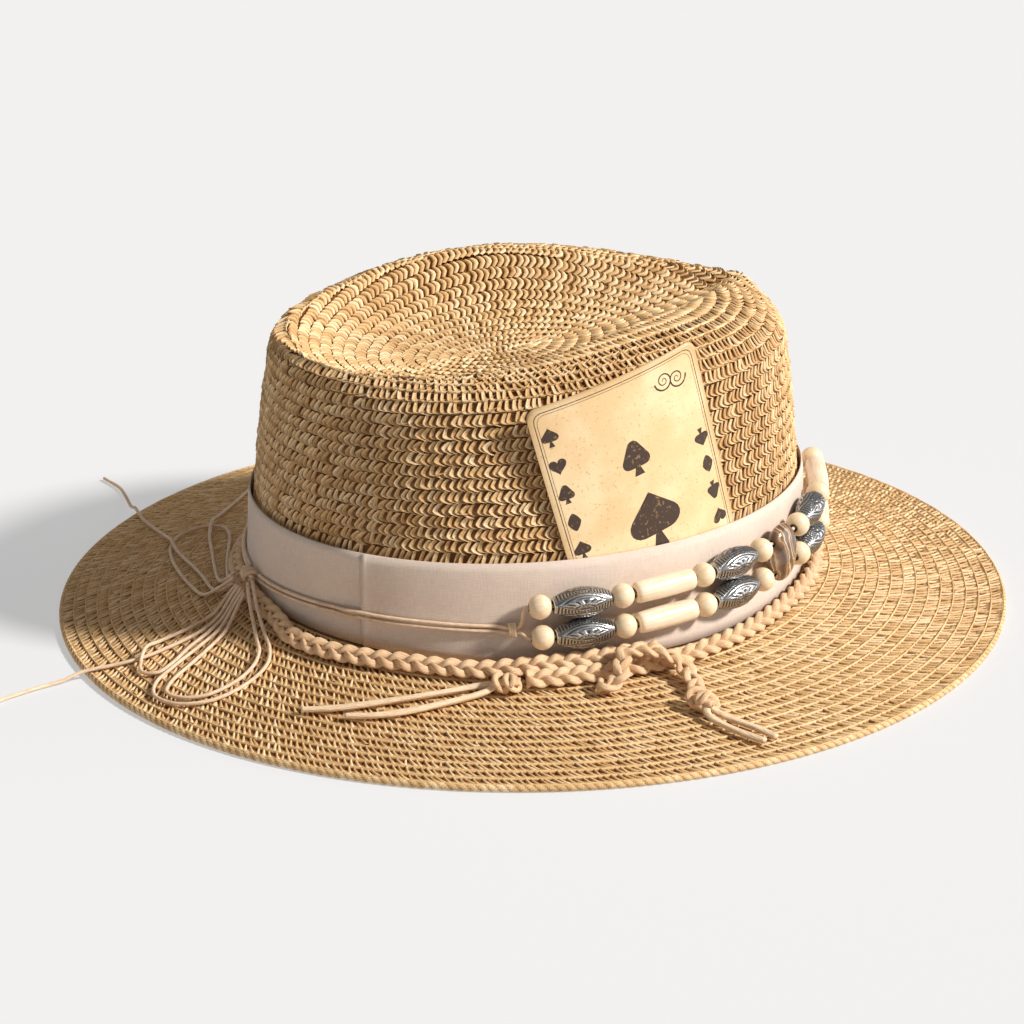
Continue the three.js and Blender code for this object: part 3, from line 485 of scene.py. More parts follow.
class Shader:
    """Builds one procedural material."""

    def __init__(self, name: str) -> None:
        """Starts an empty material with an output.

        Args:
            name: The material's name.
        """
        self.material = bpy.data.materials.new(name)
        self.material.use_nodes = True
        self.tree = self.material.node_tree
        self.tree.nodes.clear()
        self.output = self.tree.nodes.new("ShaderNodeOutputMaterial")

    def node(self, kind: str, settings: dict[str, object] | None = None,
             inputs: dict[str | int, object] | None = None) -> bpy.types.Node:
        """Adds a node.

        Args:
            kind: The node's type.
            settings: Its properties; "stops" holds a ramp's positions and colours.
            inputs: Values or links of its sockets, by name or place.

        Returns:
            The node.
        """
        made = self.tree.nodes.new(kind)
        for key, value in (settings or {}).items():
            if key == "stops":
                self._fill_ramp(made, value)
            else:
                setattr(made, key, value)
        for key, value in (inputs or {}).items():
            target = made.inputs[key]
            if isinstance(value, Socket):
                self.tree.links.new(value.socket, target)
            elif isinstance(value, tuple) and target.type == "RGBA":
                target.default_value = (*value, 1.0)
            else:
                target.default_value = value
        return made

    def out(self, kind: str, settings: dict[str, object] | None = None,
            inputs: dict[str | int, object] | None = None, output: str | int = 0) -> Socket:
        """Adds a node and returns one of its outputs."""
        return Socket(self, self.node(kind, settings, inputs).outputs[output])

    @staticmethod
    def _fill_ramp(node: bpy.types.Node, stops: Sequence[tuple[float, Colour]]) -> None:
        """Sets a ramp's stops.

        Args:
            node: The ramp's node.
            stops: Its positions and colours, from low to high.
        """
        elements = node.color_ramp.elements
        while len(elements) > 1:
            elements.remove(elements[-1])
        elements[0].position, elements[0].color = stops[0][0], (*stops[0][1], 1)
        for position, colour in stops[1:]:
            elements.new(position).color = (*colour, 1)

    def coords(self) -> Socket:
        """Object coordinates."""
        return self.out("ShaderNodeTexCoord", output="Object")

    def uv(self) -> tuple[Socket, Socket]:
        """The piece's own UVs, as two numbers."""
        split = self.node("ShaderNodeSeparateXYZ", None, {0: self.out("ShaderNodeUVMap", {"uv_map": "UVMap"})})
        return Socket(self, split.outputs[0]), Socket(self, split.outputs[1])

    def attribute(self, name: str) -> Socket:
        """A number that the mesh carries."""
        return self.out("ShaderNodeAttribute", {"attribute_name": name}, output="Fac")

    def noise(self, scale: float, detail: float = 2.0, at: Socket | None = None) -> Socket:
        """Noise over the object, or over given coordinates."""
        return self.out("ShaderNodeTexNoise", None,
                        {"Vector": at or self.coords(), "Scale": scale, "Detail": detail})

    def stretched(self, x: float, y: float) -> Socket:
        """The piece's UVs, scaled each way."""
        return self.out("ShaderNodeMapping", None, {
            "Vector": self.out("ShaderNodeUVMap", {"uv_map": "UVMap"}), "Scale": (x, y, 1.0)})

    def ramp(self, factor: Socket, stops: Sequence[tuple[float, Colour]]) -> Socket:
        """A colour for each value of factor."""
        return self.out("ShaderNodeValToRGB", {"stops": stops}, {0: factor})

    def blend(self, factor: Socket, first: Socket | Colour, second: Socket | Colour) -> Socket:
        """Mixes two colours."""
        return self.out("ShaderNodeMix", {"data_type": "RGBA"}, {
            0: factor, MIX_FIRST: first, MIX_SECOND: second}, MIX_RESULT)

    def bump(self, height: Socket, distance: float, strength: float) -> Socket:
        """A normal from a height in units of distance metres."""
        return self.out("ShaderNodeBump", None, {"Height": height, "Distance": distance, "Strength": strength})

    def finish(self, **inputs: object) -> bpy.types.Material:
        """Closes the material with a Principled shader; an underscore stands for a space.

        Args:
            inputs: Values or links of the shader's sockets.

        Returns:
            The material.
        """
        named = {key.replace("_", " "): value for key, value in inputs.items()}
        surface = self.out("ShaderNodeBsdfPrincipled", None, named)
        self.tree.links.new(surface.socket, self.output.inputs["Surface"])
        return self.material


# ---------------------------------------------------------------- finishes


@dataclass(frozen=True)
class StrawFinish:
    """Flat paper straw: each crossing strand has its own tone, and painted shade darkens the gaps between rows and
    strands.
    """

    name: str = "sewn_straw"
    # Painted shade: the dark brown laid in the gaps, slots and sunk strand edges, where shade falls between the sewn
    # rows.
    gap: Colour = (0.165, 0.062, 0.014)
    tones: tuple[tuple[float, Colour], ...] = (
        (0.0, (0.42, 0.225, 0.085)), (0.25, (0.60, 0.360, 0.155)), (0.55, (0.76, 0.500, 0.245)),
        (0.82, (0.90, 0.680, 0.410)), (1.0, (0.82, 0.520, 0.350)))
    roughness: float = 0.5

    def build(self) -> bpy.types.Material:
        """Makes the material.

        Returns:
            The material.
        """
        s = Shader(self.name)
        tint, crest = s.attribute("tint"), s.attribute("crest")
        patches = s.noise(26.0, 2.0)
        fibre = s.noise(1500.0, 3.0)
        tone = s.ramp(tint * 0.52 + patches * 0.22 + fibre * 0.55 - 0.12, self.tones)
        # Painted shade: low crest marks blend the tone towards the dark gap colour in the hollows between rows and
        # strands.
        shade = (crest + (fibre - 0.5) * 0.25).between(0.0, 0.72)
        colour = s.blend(shade, self.gap, tone)
        normal = s.bump(fibre, 0.00012, 0.7)
        return s.finish(Base_Color=colour, Roughness=fibre * 0.25 + self.roughness - 0.1,
                        Specular_IOR_Level=0.18, Normal=normal)


@dataclass(frozen=True)
class LinenFinish:
    """Plain-woven ribbon with slubs."""

    name: str = "linen_ribbon"
    thread: float = 0.00062
    slubs: tuple[float, float] = (260.0, 2400.0)
    dark: Colour = (0.59, 0.455, 0.363)
    light: Colour = (0.83, 0.700, 0.598)

    def build(self) -> bpy.types.Material:
        """Makes the material.

        Returns:
            The material.
        """
        s = Shader(self.name)
        along, up = s.uv()
        turn = 2 * math.pi / self.thread
        weave = (along * turn).sine() * (up * turn).sine() * 0.5 + 0.5
        slub = (s.noise(1.0, 2.0, s.stretched(*self.slubs)) * 0.5
                + s.noise(1.0, 2.0, s.stretched(*self.slubs[::-1])) * 0.5)
        soft = s.noise(34.0, 3.0)
        tone = (weave * 0.28 + slub * 0.9 + soft * 0.35 - 0.3).between(0.0, 1.0)
        colour = s.blend(tone, self.dark, self.light)
        normal = s.bump(weave * 0.5 + slub, 0.00016, 0.8)
        return s.finish(Base_Color=colour, Roughness=0.88, Sheen_Weight=0.25, Sheen_Roughness=0.5,
                        Specular_IOR_Level=0.2, Normal=normal)


@dataclass(frozen=True)
class CardFinish:
    """Aged card stock, speckled and darker at its edges."""

    name: str = "aged_card"
    stock: Colour = (0.82, 0.560, 0.290)
    pale: Colour = (0.90, 0.680, 0.400)
    stain: Colour = (0.42, 0.240, 0.080)

    def build(self) -> bpy.types.Material:
        """Makes the material.

        Returns:
            The material.
        """
        s = Shader(self.name)
        across, up = s.uv()
        mottle = s.noise(70.0, 4.0)
        speck = s.noise(1100.0, 2.0).between(0.60, 0.72)
        rim = ((across - 0.5).size() * 2) ** 14 + ((up - 0.5).size() * 2) ** 18
        base = s.blend(mottle.between(0.35, 0.68), self.stock, self.pale)
        spotted = s.blend(speck * 0.45, base, self.stain)
        colour = s.blend(rim.between(0.1, 1.1) * 0.55, spotted, self.stain)
        return s.finish(Base_Color=colour, Roughness=mottle * 0.2 + 0.35, Specular_IOR_Level=0.45,
                        Normal=s.bump(s.noise(420.0, 3.0), 0.00008, 0.5))


@dataclass(frozen=True)
class InkFinish:
    """Worn printing ink."""

    name: str = "brown_ink"
    ink: Colour = (0.055, 0.030, 0.018)
    worn: Colour = (0.30, 0.170, 0.070)

    def build(self) -> bpy.types.Material:
        """Makes the material.

        Returns:
            The material.
        """
        s = Shader(self.name)
        wear = s.noise(900.0, 3.0).between(0.56, 0.74)
        return s.finish(Base_Color=s.blend(wear, self.ink, self.worn), Roughness=0.45)


@dataclass(frozen=True)
class CordFinish:
    """A flat suede-like strand with fine fibres along it."""

    name: str = "plait_cord"
    dark: Colour = (0.46, 0.260, 0.120)
    middle: Colour = (0.72, 0.470, 0.265)
    light: Colour = (0.88, 0.670, 0.450)
    fibres: float = 34.0
    roughness: float = 0.62

    def build(self) -> bpy.types.Material:
        """Makes the material.

        Returns:
            The material.
        """
        s = Shader(self.name)
        fine = s.noise(1.0, 3.0, s.stretched(420.0, self.fibres))
        soft = s.noise(150.0, 2.0)
        tone = fine * 0.8 + soft * 0.35 - 0.08
        colour = s.ramp(tone, ((0.22, self.dark), (0.5, self.middle), (0.78, self.light)))
        return s.finish(Base_Color=colour, Roughness=fine * 0.2 + self.roughness - 0.1,
                        Specular_IOR_Level=0.35, Sheen_Weight=0.1, Normal=s.bump(fine, 0.0003, 0.8))


@dataclass(frozen=True)
class BeadFinish:
    """Polished pale beads: wood or bone, with a faint grain along the bore and painted shade inside it."""

    name: str
    base: Colour
    grain: Colour
    roughness: float
    # Painted shade: the dark colour laid inside the drilled hole, where shade falls.
    bore: Colour = (0.16, 0.085, 0.040)

    def build(self) -> bpy.types.Material:
        """Makes the material.

        Returns:
            The material.
        """
        s = Shader(self.name)
        streak = s.noise(1.0, 3.0, s.stretched(2.2, 26.0))
        cloud = s.noise(160.0, 3.0)
        body = s.blend((streak * 0.7 + cloud * 0.5 - 0.1).between(0.35, 0.8), self.base, self.grain)
        # The crest mark is 0 inside the bore, where the painted bore shade goes.
        colour = s.blend(s.attribute("crest"), self.bore, body)
        return s.finish(Base_Color=colour, Roughness=cloud * 0.12 + self.roughness, Subsurface_Weight=0.12,
                        Subsurface_Scale=0.0012, Coat_Weight=0.18, Normal=s.bump(cloud, 0.00005, 0.6))


@dataclass(frozen=True)
class AntiqueSilver:
    """Cast metal, bright where it is rubbed and black in the recesses."""

    name: str = "antique_silver"
    bright: Colour = (0.56, 0.555, 0.55)
    dark: Colour = (0.075, 0.075, 0.08)

    def build(self) -> bpy.types.Material:
        """Makes the material.

        Returns:
            The material.
        """
        s = Shader(self.name)
        wear = (s.attribute("crest") + (s.noise(1400.0, 3.0) - 0.5) * 0.3).between(0.1, 0.95)
        colour = s.blend(wear, self.dark, self.bright)
        return s.finish(Base_Color=colour, Metallic=1.0, Roughness=0.52 - wear * 0.26,
                        Normal=s.bump(s.noise(2600.0, 2.0), 0.00003, 0.5))


@dataclass(frozen=True)
class AgateFinish:
    """A polished banded stone."""

    name: str = "banded_agate"
    bands: tuple[tuple[float, Colour], ...] = (
        (0.0, (0.070, 0.036, 0.018)), (0.30, (0.20, 0.110, 0.055)), (0.44, (0.42, 0.270, 0.150)),
        (0.52, (0.16, 0.085, 0.040)), (0.74, (0.26, 0.150, 0.075)), (0.82, (0.72, 0.560, 0.400)),
        (0.88, (0.24, 0.140, 0.070)), (1.0, (0.10, 0.055, 0.028)))

    def build(self) -> bpy.types.Material:
        """Makes the material.

        Returns:
            The material.
        """
        s = Shader(self.name)
        warp = s.noise(120.0, 3.0)
        split = s.node("ShaderNodeSeparateXYZ", None, {0: s.coords()})
        along, height = Socket(s, split.outputs[0]), Socket(s, split.outputs[2])
        band = (along * 620.0 + height * 170.0 + warp * 5.0).sine() * 0.5 + 0.5
        return s.finish(Base_Color=s.ramp(band, self.bands), Roughness=0.12, Coat_Weight=0.6, Coat_Roughness=0.05)


@dataclass(frozen=True)
class FloorFinish:
    """The pale surface that the hat lies on."""

    name: str = "pale_floor"
    tone: Colour = (0.41, 0.41, 0.414)
    glow: float = 0.383

    def build(self) -> bpy.types.Material:
        """Makes the material."""
        return Shader(self.name).finish(Base_Color=self.tone, Roughness=0.9, Specular_IOR_Level=0.1,
                                        Emission_Color=(1.0, 1.0, 1.0), Emission_Strength=self.glow)


WOOD = BeadFinish("pale_wood", (0.84, 0.680, 0.460), (0.70, 0.500, 0.300), 0.36)
BONE = BeadFinish("polished_bone", (0.88, 0.740, 0.560), (0.74, 0.540, 0.340), 0.28)
TAIL = CordFinish("pale_cord", (0.52, 0.33, 0.17), (0.82, 0.61, 0.40), (0.93, 0.78, 0.58), 20.0, 0.6)
STRING = CordFinish("waxed_string", (0.50, 0.30, 0.16), (0.80, 0.58, 0.39), (0.93, 0.76, 0.58), 14.0, 0.45)


# ---------------------------------------------------------------- the hat's form


@dataclass(frozen=True)
class HatForm:
    """The straw's outer surface, in millimetres, from the part's own driving sizes."""

    centre_x: float = -3.4
    foot_length: float = 99.3
    foot_width: float = 88.5
    shoulder: float = 92.0
    ridge_height: float = 112.0
    ridge_end_drop: float = 8.1
    ridge_peak_x: float = 6.0
    ridge_peak_spread: float = 52.0
    brim_length: float = 168.1
    brim_width: float = 158.7
    foot_height: float = 14.0
    foot_wave: float = 1.6
    edge: float = 2.6
    droop: float = 1.25
    wall: float = 2.4
    dent_x: float = -25.0
    dent_front: float = 108.0
    dent_back: float = 66.0
    dent_side: float = 55.0
    button_x: float = -15.0
    button_half: float = 12.0
    dent_floor: float = 93.0
    side_power: float = 4.2
    front_power: float = 1.5
    point_power: float = 1.6
    point_spread: float = 0.6
    foot_clearance: float = 0.3
    wall_rise: tuple[float, ...] = (0.0, 0.22, 0.445, 0.8, 1.0)
    wall_length: tuple[float, ...] = (1.0, 0.993, 0.99, 0.964, 0.94)
    wall_width: tuple[float, ...] = (1.0, 0.96, 0.935, 0.896, 0.866)

    def foot_at(self, angle: np.ndarray) -> np.ndarray:
        """The height of the crown's foot round the hat."""
        return self.foot_height + self.foot_wave * np.cos(2 * angle)

    def wall_at(self, angle: np.ndarray, height: np.ndarray, out: float = 0.0) -> np.ndarray:
        """A point on the crown's wall, or out from it.

        Args:
            angle: The direction round the hat, in radians.
            height: The height over the resting surface.
            out: How far out from the wall.

        Returns:
            The point, or the points.
        """
        low = self.foot_height - self.foot_wave
        rise = (height - low) / (self.shoulder - low)
        length = self.foot_length * np.interp(rise, self.wall_rise, self.wall_length) + out
        width = self.foot_width * np.interp(rise, self.wall_rise, self.wall_width) + out
        return np.stack(np.broadcast_arrays(
            self.centre_x + length * np.cos(angle), width * np.sin(angle), height), axis=-1)

    def brim_oval(self, share: np.ndarray) -> tuple[np.ndarray, np.ndarray]:
        """The half sizes of the brim's oval, from the crown's foot at 0 to the edge at 1."""
        return (self.foot_length + (self.brim_length - self.foot_length) * share,
                self.foot_width + (self.brim_width - self.foot_width) * share)

    def brim_at(self, share: np.ndarray, angle: np.ndarray) -> np.ndarray:
        """A point on the brim's upper side, from the crown's foot at 0 to the edge at 1.

        Args:
            share: 0 at the crown's foot, 1 at the edge.
            angle: The direction round the hat, in radians.

        Returns:
            The point, or the points.
        """
        length, width = self.brim_oval(share)
        drop = np.clip(1 - np.clip(share, 0, 1), 0, 1) ** self.droop
        height = self.edge + (self.foot_at(angle) - self.edge) * drop
        return np.stack(np.broadcast_arrays(
            self.centre_x * (1 - share) + length * np.cos(angle), width * np.sin(angle), height), axis=-1)

    def rest_at(self, x: np.ndarray, y: np.ndarray) -> np.ndarray:
        """The height of what lies under a point: the brim, or the surface outside it.

        Args:
            x: The points' places towards the hat's front.
            y: Their places towards the wearer's left.

        Returns:
            The heights, found by halving the share of the brim that reaches each point.
        """
        low, high = np.full(np.shape(x), -0.2), np.full(np.shape(x), 1.6)
        for _ in range(HALVINGS):
            share = (low + high) / 2
            length, width = self.brim_oval(share)
            inside = ((x - self.centre_x * (1 - share)) / length) ** 2 + (y / width) ** 2 < 1
            high, low = np.where(inside, share, high), np.where(inside, low, share)
        share = (low + high) / 2
        angle = np.arctan2(y / self.brim_width, x / self.brim_length)
        return np.where(share > 1, 0.0, self.brim_at(share, angle)[..., 2])

    def lay(self, route: Route) -> np.ndarray:
        """A route's points in space.

        Args:
            route: x, y and the height over what lies under it.

        Returns:
            The points, one a row.
        """
        points = np.array(route, dtype=float)
        points[:, 2] += self.rest_at(points[:, 0], points[:, 1])
        return points

    def _ridge(self, angle: np.ndarray) -> np.ndarray:
        """The crest round the dent: a teardrop with its point to the front.

        Args:
            angle: The directions round the hat, in radians.

        Returns:
            The crest's points, one a direction.
        """
        forward = np.cos(angle)
        turn = np.abs(np.arctan2(np.sin(angle), forward)) / (np.pi / 2)
        reach = np.clip((1 - self.point_spread) * forward + self.point_spread * (1 - turn), 0, 1)
        spread = np.clip(1 - reach ** self.point_power, 0, 1)
        side = np.where(np.abs(np.sin(angle)) < 1e-6, 0.0, np.sign(np.sin(angle)))
        front = np.stack([self.dent_x + self.dent_front * reach, side * self.dent_side * spread], axis=-1)
        back = np.stack([self.dent_x + self.dent_back * forward, self.dent_side * np.sin(angle)], axis=-1)
        plan = np.where((forward > 0)[..., None], front, back)
        fall = 1 - np.exp(-((plan[..., :1] - self.ridge_peak_x) / self.ridge_peak_spread) ** 2)
        return np.concatenate([plan, self.ridge_height - self.ridge_end_drop * fall], axis=-1)

    def crown_lines(self, angles: np.ndarray, samples: int = 700, soften: float = 0.9) -> np.ndarray:
        """Lines from the button over the ridge and down to the foot, one for each angle.

        Args:
            angles: The lines' directions.
            samples: How many even points each line gets.
            soften: How far the crest and the bends are rounded.

        Returns:
            An array of lines, points and coordinates.
        """
        ridge = self._ridge(angles)[:, None]
        button = np.stack([self.button_x + self.button_half * np.cos(angles), 0 * angles,
                           0 * angles + self.dent_floor], axis=-1)[:, None]
        share = np.linspace(0, 1, 120)[None, :, None]
        frontness = np.clip(np.cos(angles), 0, 1)[:, None, None] ** 2
        power = self.side_power - (self.side_power - self.front_power) * frontness
        dent = button + (ridge - button) * share
        dent[..., 2:] = self.dent_floor + (ridge[..., 2:] - self.dent_floor) * share ** power
        turn = np.linspace(0, np.pi / 2, 40)[None, 1:, None]
        top = self.wall_at(angles, np.full_like(angles, self.shoulder))[:, None]
        roll = ridge + (top - ridge) * np.sin(turn)
        roll[..., 2:] = self.shoulder + (ridge[..., 2:] - self.shoulder) * np.cos(turn)
        down = np.linspace(0, 1, 90)[None, 1:]
        heights = self.shoulder + (self.foot_at(angles)[:, None] + self.foot_clearance - self.shoulder) * down
        side = self.wall_at(angles[:, None], heights)
        lines = np.concatenate([dent, roll, side], axis=1)
        even = np.stack([even_steps(line, line_length(line) / (samples - 1))[:samples] for line in lines])
        spread = soften / (line_length(even[0]) / samples)
        reach = int(3 * spread)
        bell = np.exp(-0.5 * (np.arange(-reach, reach + 1) / spread) ** 2)
        padded = np.concatenate([
            2 * even[:, :1] - even[:, reach:0:-1], even, 2 * even[:, -1:] - even[:, -2:-reach - 2:-1]], axis=1)
        return sum(w * padded[:, i:i + even.shape[1]] for i, w in enumerate(bell / bell.sum()))


# How one sewn row stands off the smooth form: share across it, height over the form, and crest mark, the share of tone
# kept against painted shade; low marks paint the row gaps and slots dark.
Profile = tuple[tuple[float, float, float], ...]
CROWN_PROFILE: Profile = (
    (0.0, -1.55, 0.0), (0.25, -1.20, 0.05), (0.6, -0.95, 0.15), (0.9, -0.80, 0.25), (0.99, -1.10, 0.1))
BRIM_PROFILE: Profile = (
    (0.01, -0.80, 0.20), (0.06, -0.98, 0.05), (0.36, -0.98, 0.05), (0.44, -0.60, 0.20), (0.64, -0.46, 0.40),
    (0.86, -0.40, 0.35), (0.90, 0.0, 1.0), (0.965, 0.0, 1.0))
INNER_PROFILE: Profile = ((0.1, -2.35, 0.75), (0.9, -2.15, 0.3))


@dataclass
class StrawRows:
    """Sewn rows over a grid of lines, with the crossing strands set out along each row."""

    lines: np.ndarray
    edges: np.ndarray
    profile: Profile = CROWN_PROFILE
    lumps: float = 0.05
    strand_span: tuple[float, float] = (0.12, 0.9)
    slide: float = 0.2
    tip: float = 0.05
    skew: float = 0.13
    width_range: tuple[float, float] = (-0.2, 0.2)
    length_range: tuple[float, float] = (0.94, 1.06)
    height_range: tuple[float, float] = (-0.4, 0.25)

    def __post_init__(self) -> None:
        """Works out the arc lengths and the outward normals of the grid."""
        self.walked = walked_along(self.lines)
        down = np.gradient(self.lines, axis=1)
        around = np.roll(self.lines, -1, axis=0) - np.roll(self.lines, 1, axis=0)
        around[:, :3] = around[:, 3:4]
        self.normals = unit(np.cross(down, around))

    def at(self, row: int, share: float) -> tuple[np.ndarray, np.ndarray]:
        """Points and normals at a share across a row, on every line.

        Args:
            row: The row, counted outwards.
            share: 0 at its inner edge, 1 at its outer edge.

        Returns:
            The points and the outward normals.
        """
        arc = self.edges[:, row] + (self.edges[:, row + 1] - self.edges[:, row]) * share
        point, normal = (np.stack([read_along(*each) for each in zip(arc, self.walked, values)])
                         for values in (self.lines, self.normals))
        return point, unit(normal)

    def shell(self, name: str, material: bpy.types.Material, *nodes: str) -> bpy.types.Object:
        """Builds the rows' outer and inner faces as one closed shell that stays over the resting surface.

        Args:
            name: The piece's name.
            material: Its finish.
            nodes: The CAD nodes that it stands for.

        Returns:
            The piece.
        """
        rows = range(self.edges.shape[1] - 1)
        rings, marks = [], []
        for order, profile in ((rows, self.profile), (rows[::-1], INNER_PROFILE[::-1])):
            for row, (share, height, mark) in itertools.product(order, profile):
                point, normal = self.at(row, share)
                rings.append(point + normal * height)
                marks.append(mark)
        verts = np.array(rings)
        verts += np.random.default_rng(7).normal(0, self.lumps, verts.shape)
        verts[..., 2] = np.maximum(verts[..., 2], 0.0)
        sides = verts.shape[1]
        book = MeshBook()
        faces = [face[::-1] for face in grid_faces(len(rings), sides, ring_loop=True)]
        book.add(verts.reshape(-1, 3), faces, None, np.repeat(np.array(marks), sides))
        made = book.build(name, material, nodes=nodes)
        put_numbers(made.data, "tint", np.random.default_rng(11).random(len(verts.reshape(-1, 3))) * 0.5 + 0.2)
        return made

    def strand_sites(self, rows: range, pitch: float, sunk: float, seed: int, uneven: float) -> dict[str, np.ndarray]:
        """Sets out the crossing strands of some rows.

        Args:
            rows: The rows.
            pitch: The distance between strands along a row.
            sunk: The height of their feet over the smooth form.
            seed: The seed of the small irregularities.
            uneven: How strong they are.

        Returns:
            The strands' places, directions and sizes.
        """
        random = np.random.default_rng(seed)
        found: dict[str, list[np.ndarray]] = {key: [] for key in ("place", "along", "normal", "size")}
        for row in rows:
            (top, _), (middle, up), (foot, _) = (
                self.at(row, share) for share in (self.strand_span[0], 0.5, self.strand_span[1]))
            walked = walked_along(np.vstack([middle, middle[:1]]))
            number = max(int(round(walked[-1] / pitch)), 6)
            slid = np.arange(number) + random.uniform(-self.slide, self.slide, number) * uneven + random.random()
            at = slid % number / number * walked[-1]
            top, middle, up, foot = (read_along(at, walked, np.vstack([v, v[:1]])) for v in (top, middle, up, foot))
            across = foot - top
            n = unit(up + random.normal(0, self.tip * uneven, (number, 3)))
            skewed = across + np.cross(n, across) * random.normal(0, self.skew * uneven, (number, 1))
            length = np.linalg.norm(across, axis=1) / (self.strand_span[1] - self.strand_span[0])
            found["place"].append(middle + n * sunk)
            found["along"].append(unit(np.cross(n, skewed)))
            found["normal"].append(n)
            found["size"].append(np.stack([
                walked[-1] / number * (1 + uneven * random.uniform(*self.width_range, number)),
                length * random.uniform(*self.length_range, number),
                1 + uneven * random.uniform(*self.height_range, number)], axis=1))
        return {key: np.concatenate(parts) for key, parts in found.items()}


@dataclass(frozen=True)
class CrossingStrand:
    """One strand that crosses a row: its course over the row, and its section from the raised edge to its far side."""

    course: tuple[tuple[float, float, float, float], ...]
    section: Profile
    ridge: float

    def build(self) -> bpy.types.Object:
        """Makes the strand from its course (share across, along, height, width) and section (along, height, mark),
        where a low mark paints shade on the strand's sunk edges.

        Returns:
            The strand, which is not in the scene itself.
        """
        verts, marks = [], []
        for share, along, full, wide in self.course:
            for offset, height, mark in self.section:
                verts.append((along + offset * wide, -share, height * self.ridge * (full if height > 0 else 1.0)))
                marks.append(mark)
        faces = grid_faces(len(self.course), len(self.section), line_loop=False)
        mesh = bpy.data.meshes.new("crossing_strand")
        mesh.from_pydata([tuple(c * MM for c in v) for v in verts], [], faces)
        put_numbers(mesh, "crest", np.array(marks))
        mesh.polygons.foreach_set("use_smooth", [True] * len(mesh.polygons))
        return bpy.data.objects.new("crossing_strand", mesh)


# The third number of each section point is painted shade: low marks darken the strands' sunk edges and far sides
# towards the gap colour.
SIDE_STRAND = CrossingStrand(
    course=((-0.50, 0.30, 0.42, 0.80), (-0.26, -0.04, 0.86, 0.90), (-0.02, -0.32, 1.0, 0.95),
            (0.16, -0.40, 1.05, 1.0), (0.32, -0.04, 1.35, 1.1), (0.47, 0.90, 1.22, 1.1)),
    section=((-0.11, -0.25, 0.10), (-0.05, 0.90, 1.0), (0.09, 0.95, 1.0), (0.19, 0.42, 0.52), (0.60, 0.26, 0.36),
             (0.66, -0.25, 0.05)), ridge=0.74)
DENT_STRAND = CrossingStrand(
    course=((-0.50, 0.34, 0.50, 0.80), (-0.26, 0.02, 0.92, 0.92), (0.0, -0.24, 1.0, 1.0), (0.24, -0.10, 1.0, 1.0),
            (0.48, 0.40, 0.74, 0.92)),
    section=((-0.08, -0.20, 0.15), (0.02, 0.90, 0.90), (0.30, 1.0, 1.0), (0.60, 0.80, 0.72), (0.76, -0.20, 0.10)),
    ridge=0.86)
BRIM_STRAND = CrossingStrand(
    course=((-0.53, -0.34, 0.95, 0.8), (-0.36, -0.18, 0.90, 0.9), (-0.18, 0.02, 0.92, 1.0), (0.0, 0.22, 0.88, 1.6),
            (0.20, 0.42, 0.92, 1.9), (0.39, 0.66, 0.92, 1.9)),
    section=((-0.16, -0.22, 0.10), (-0.06, 0.84, 0.62), (0.20, 0.92, 0.78), (0.42, -0.22, 0.10)), ridge=0.86)


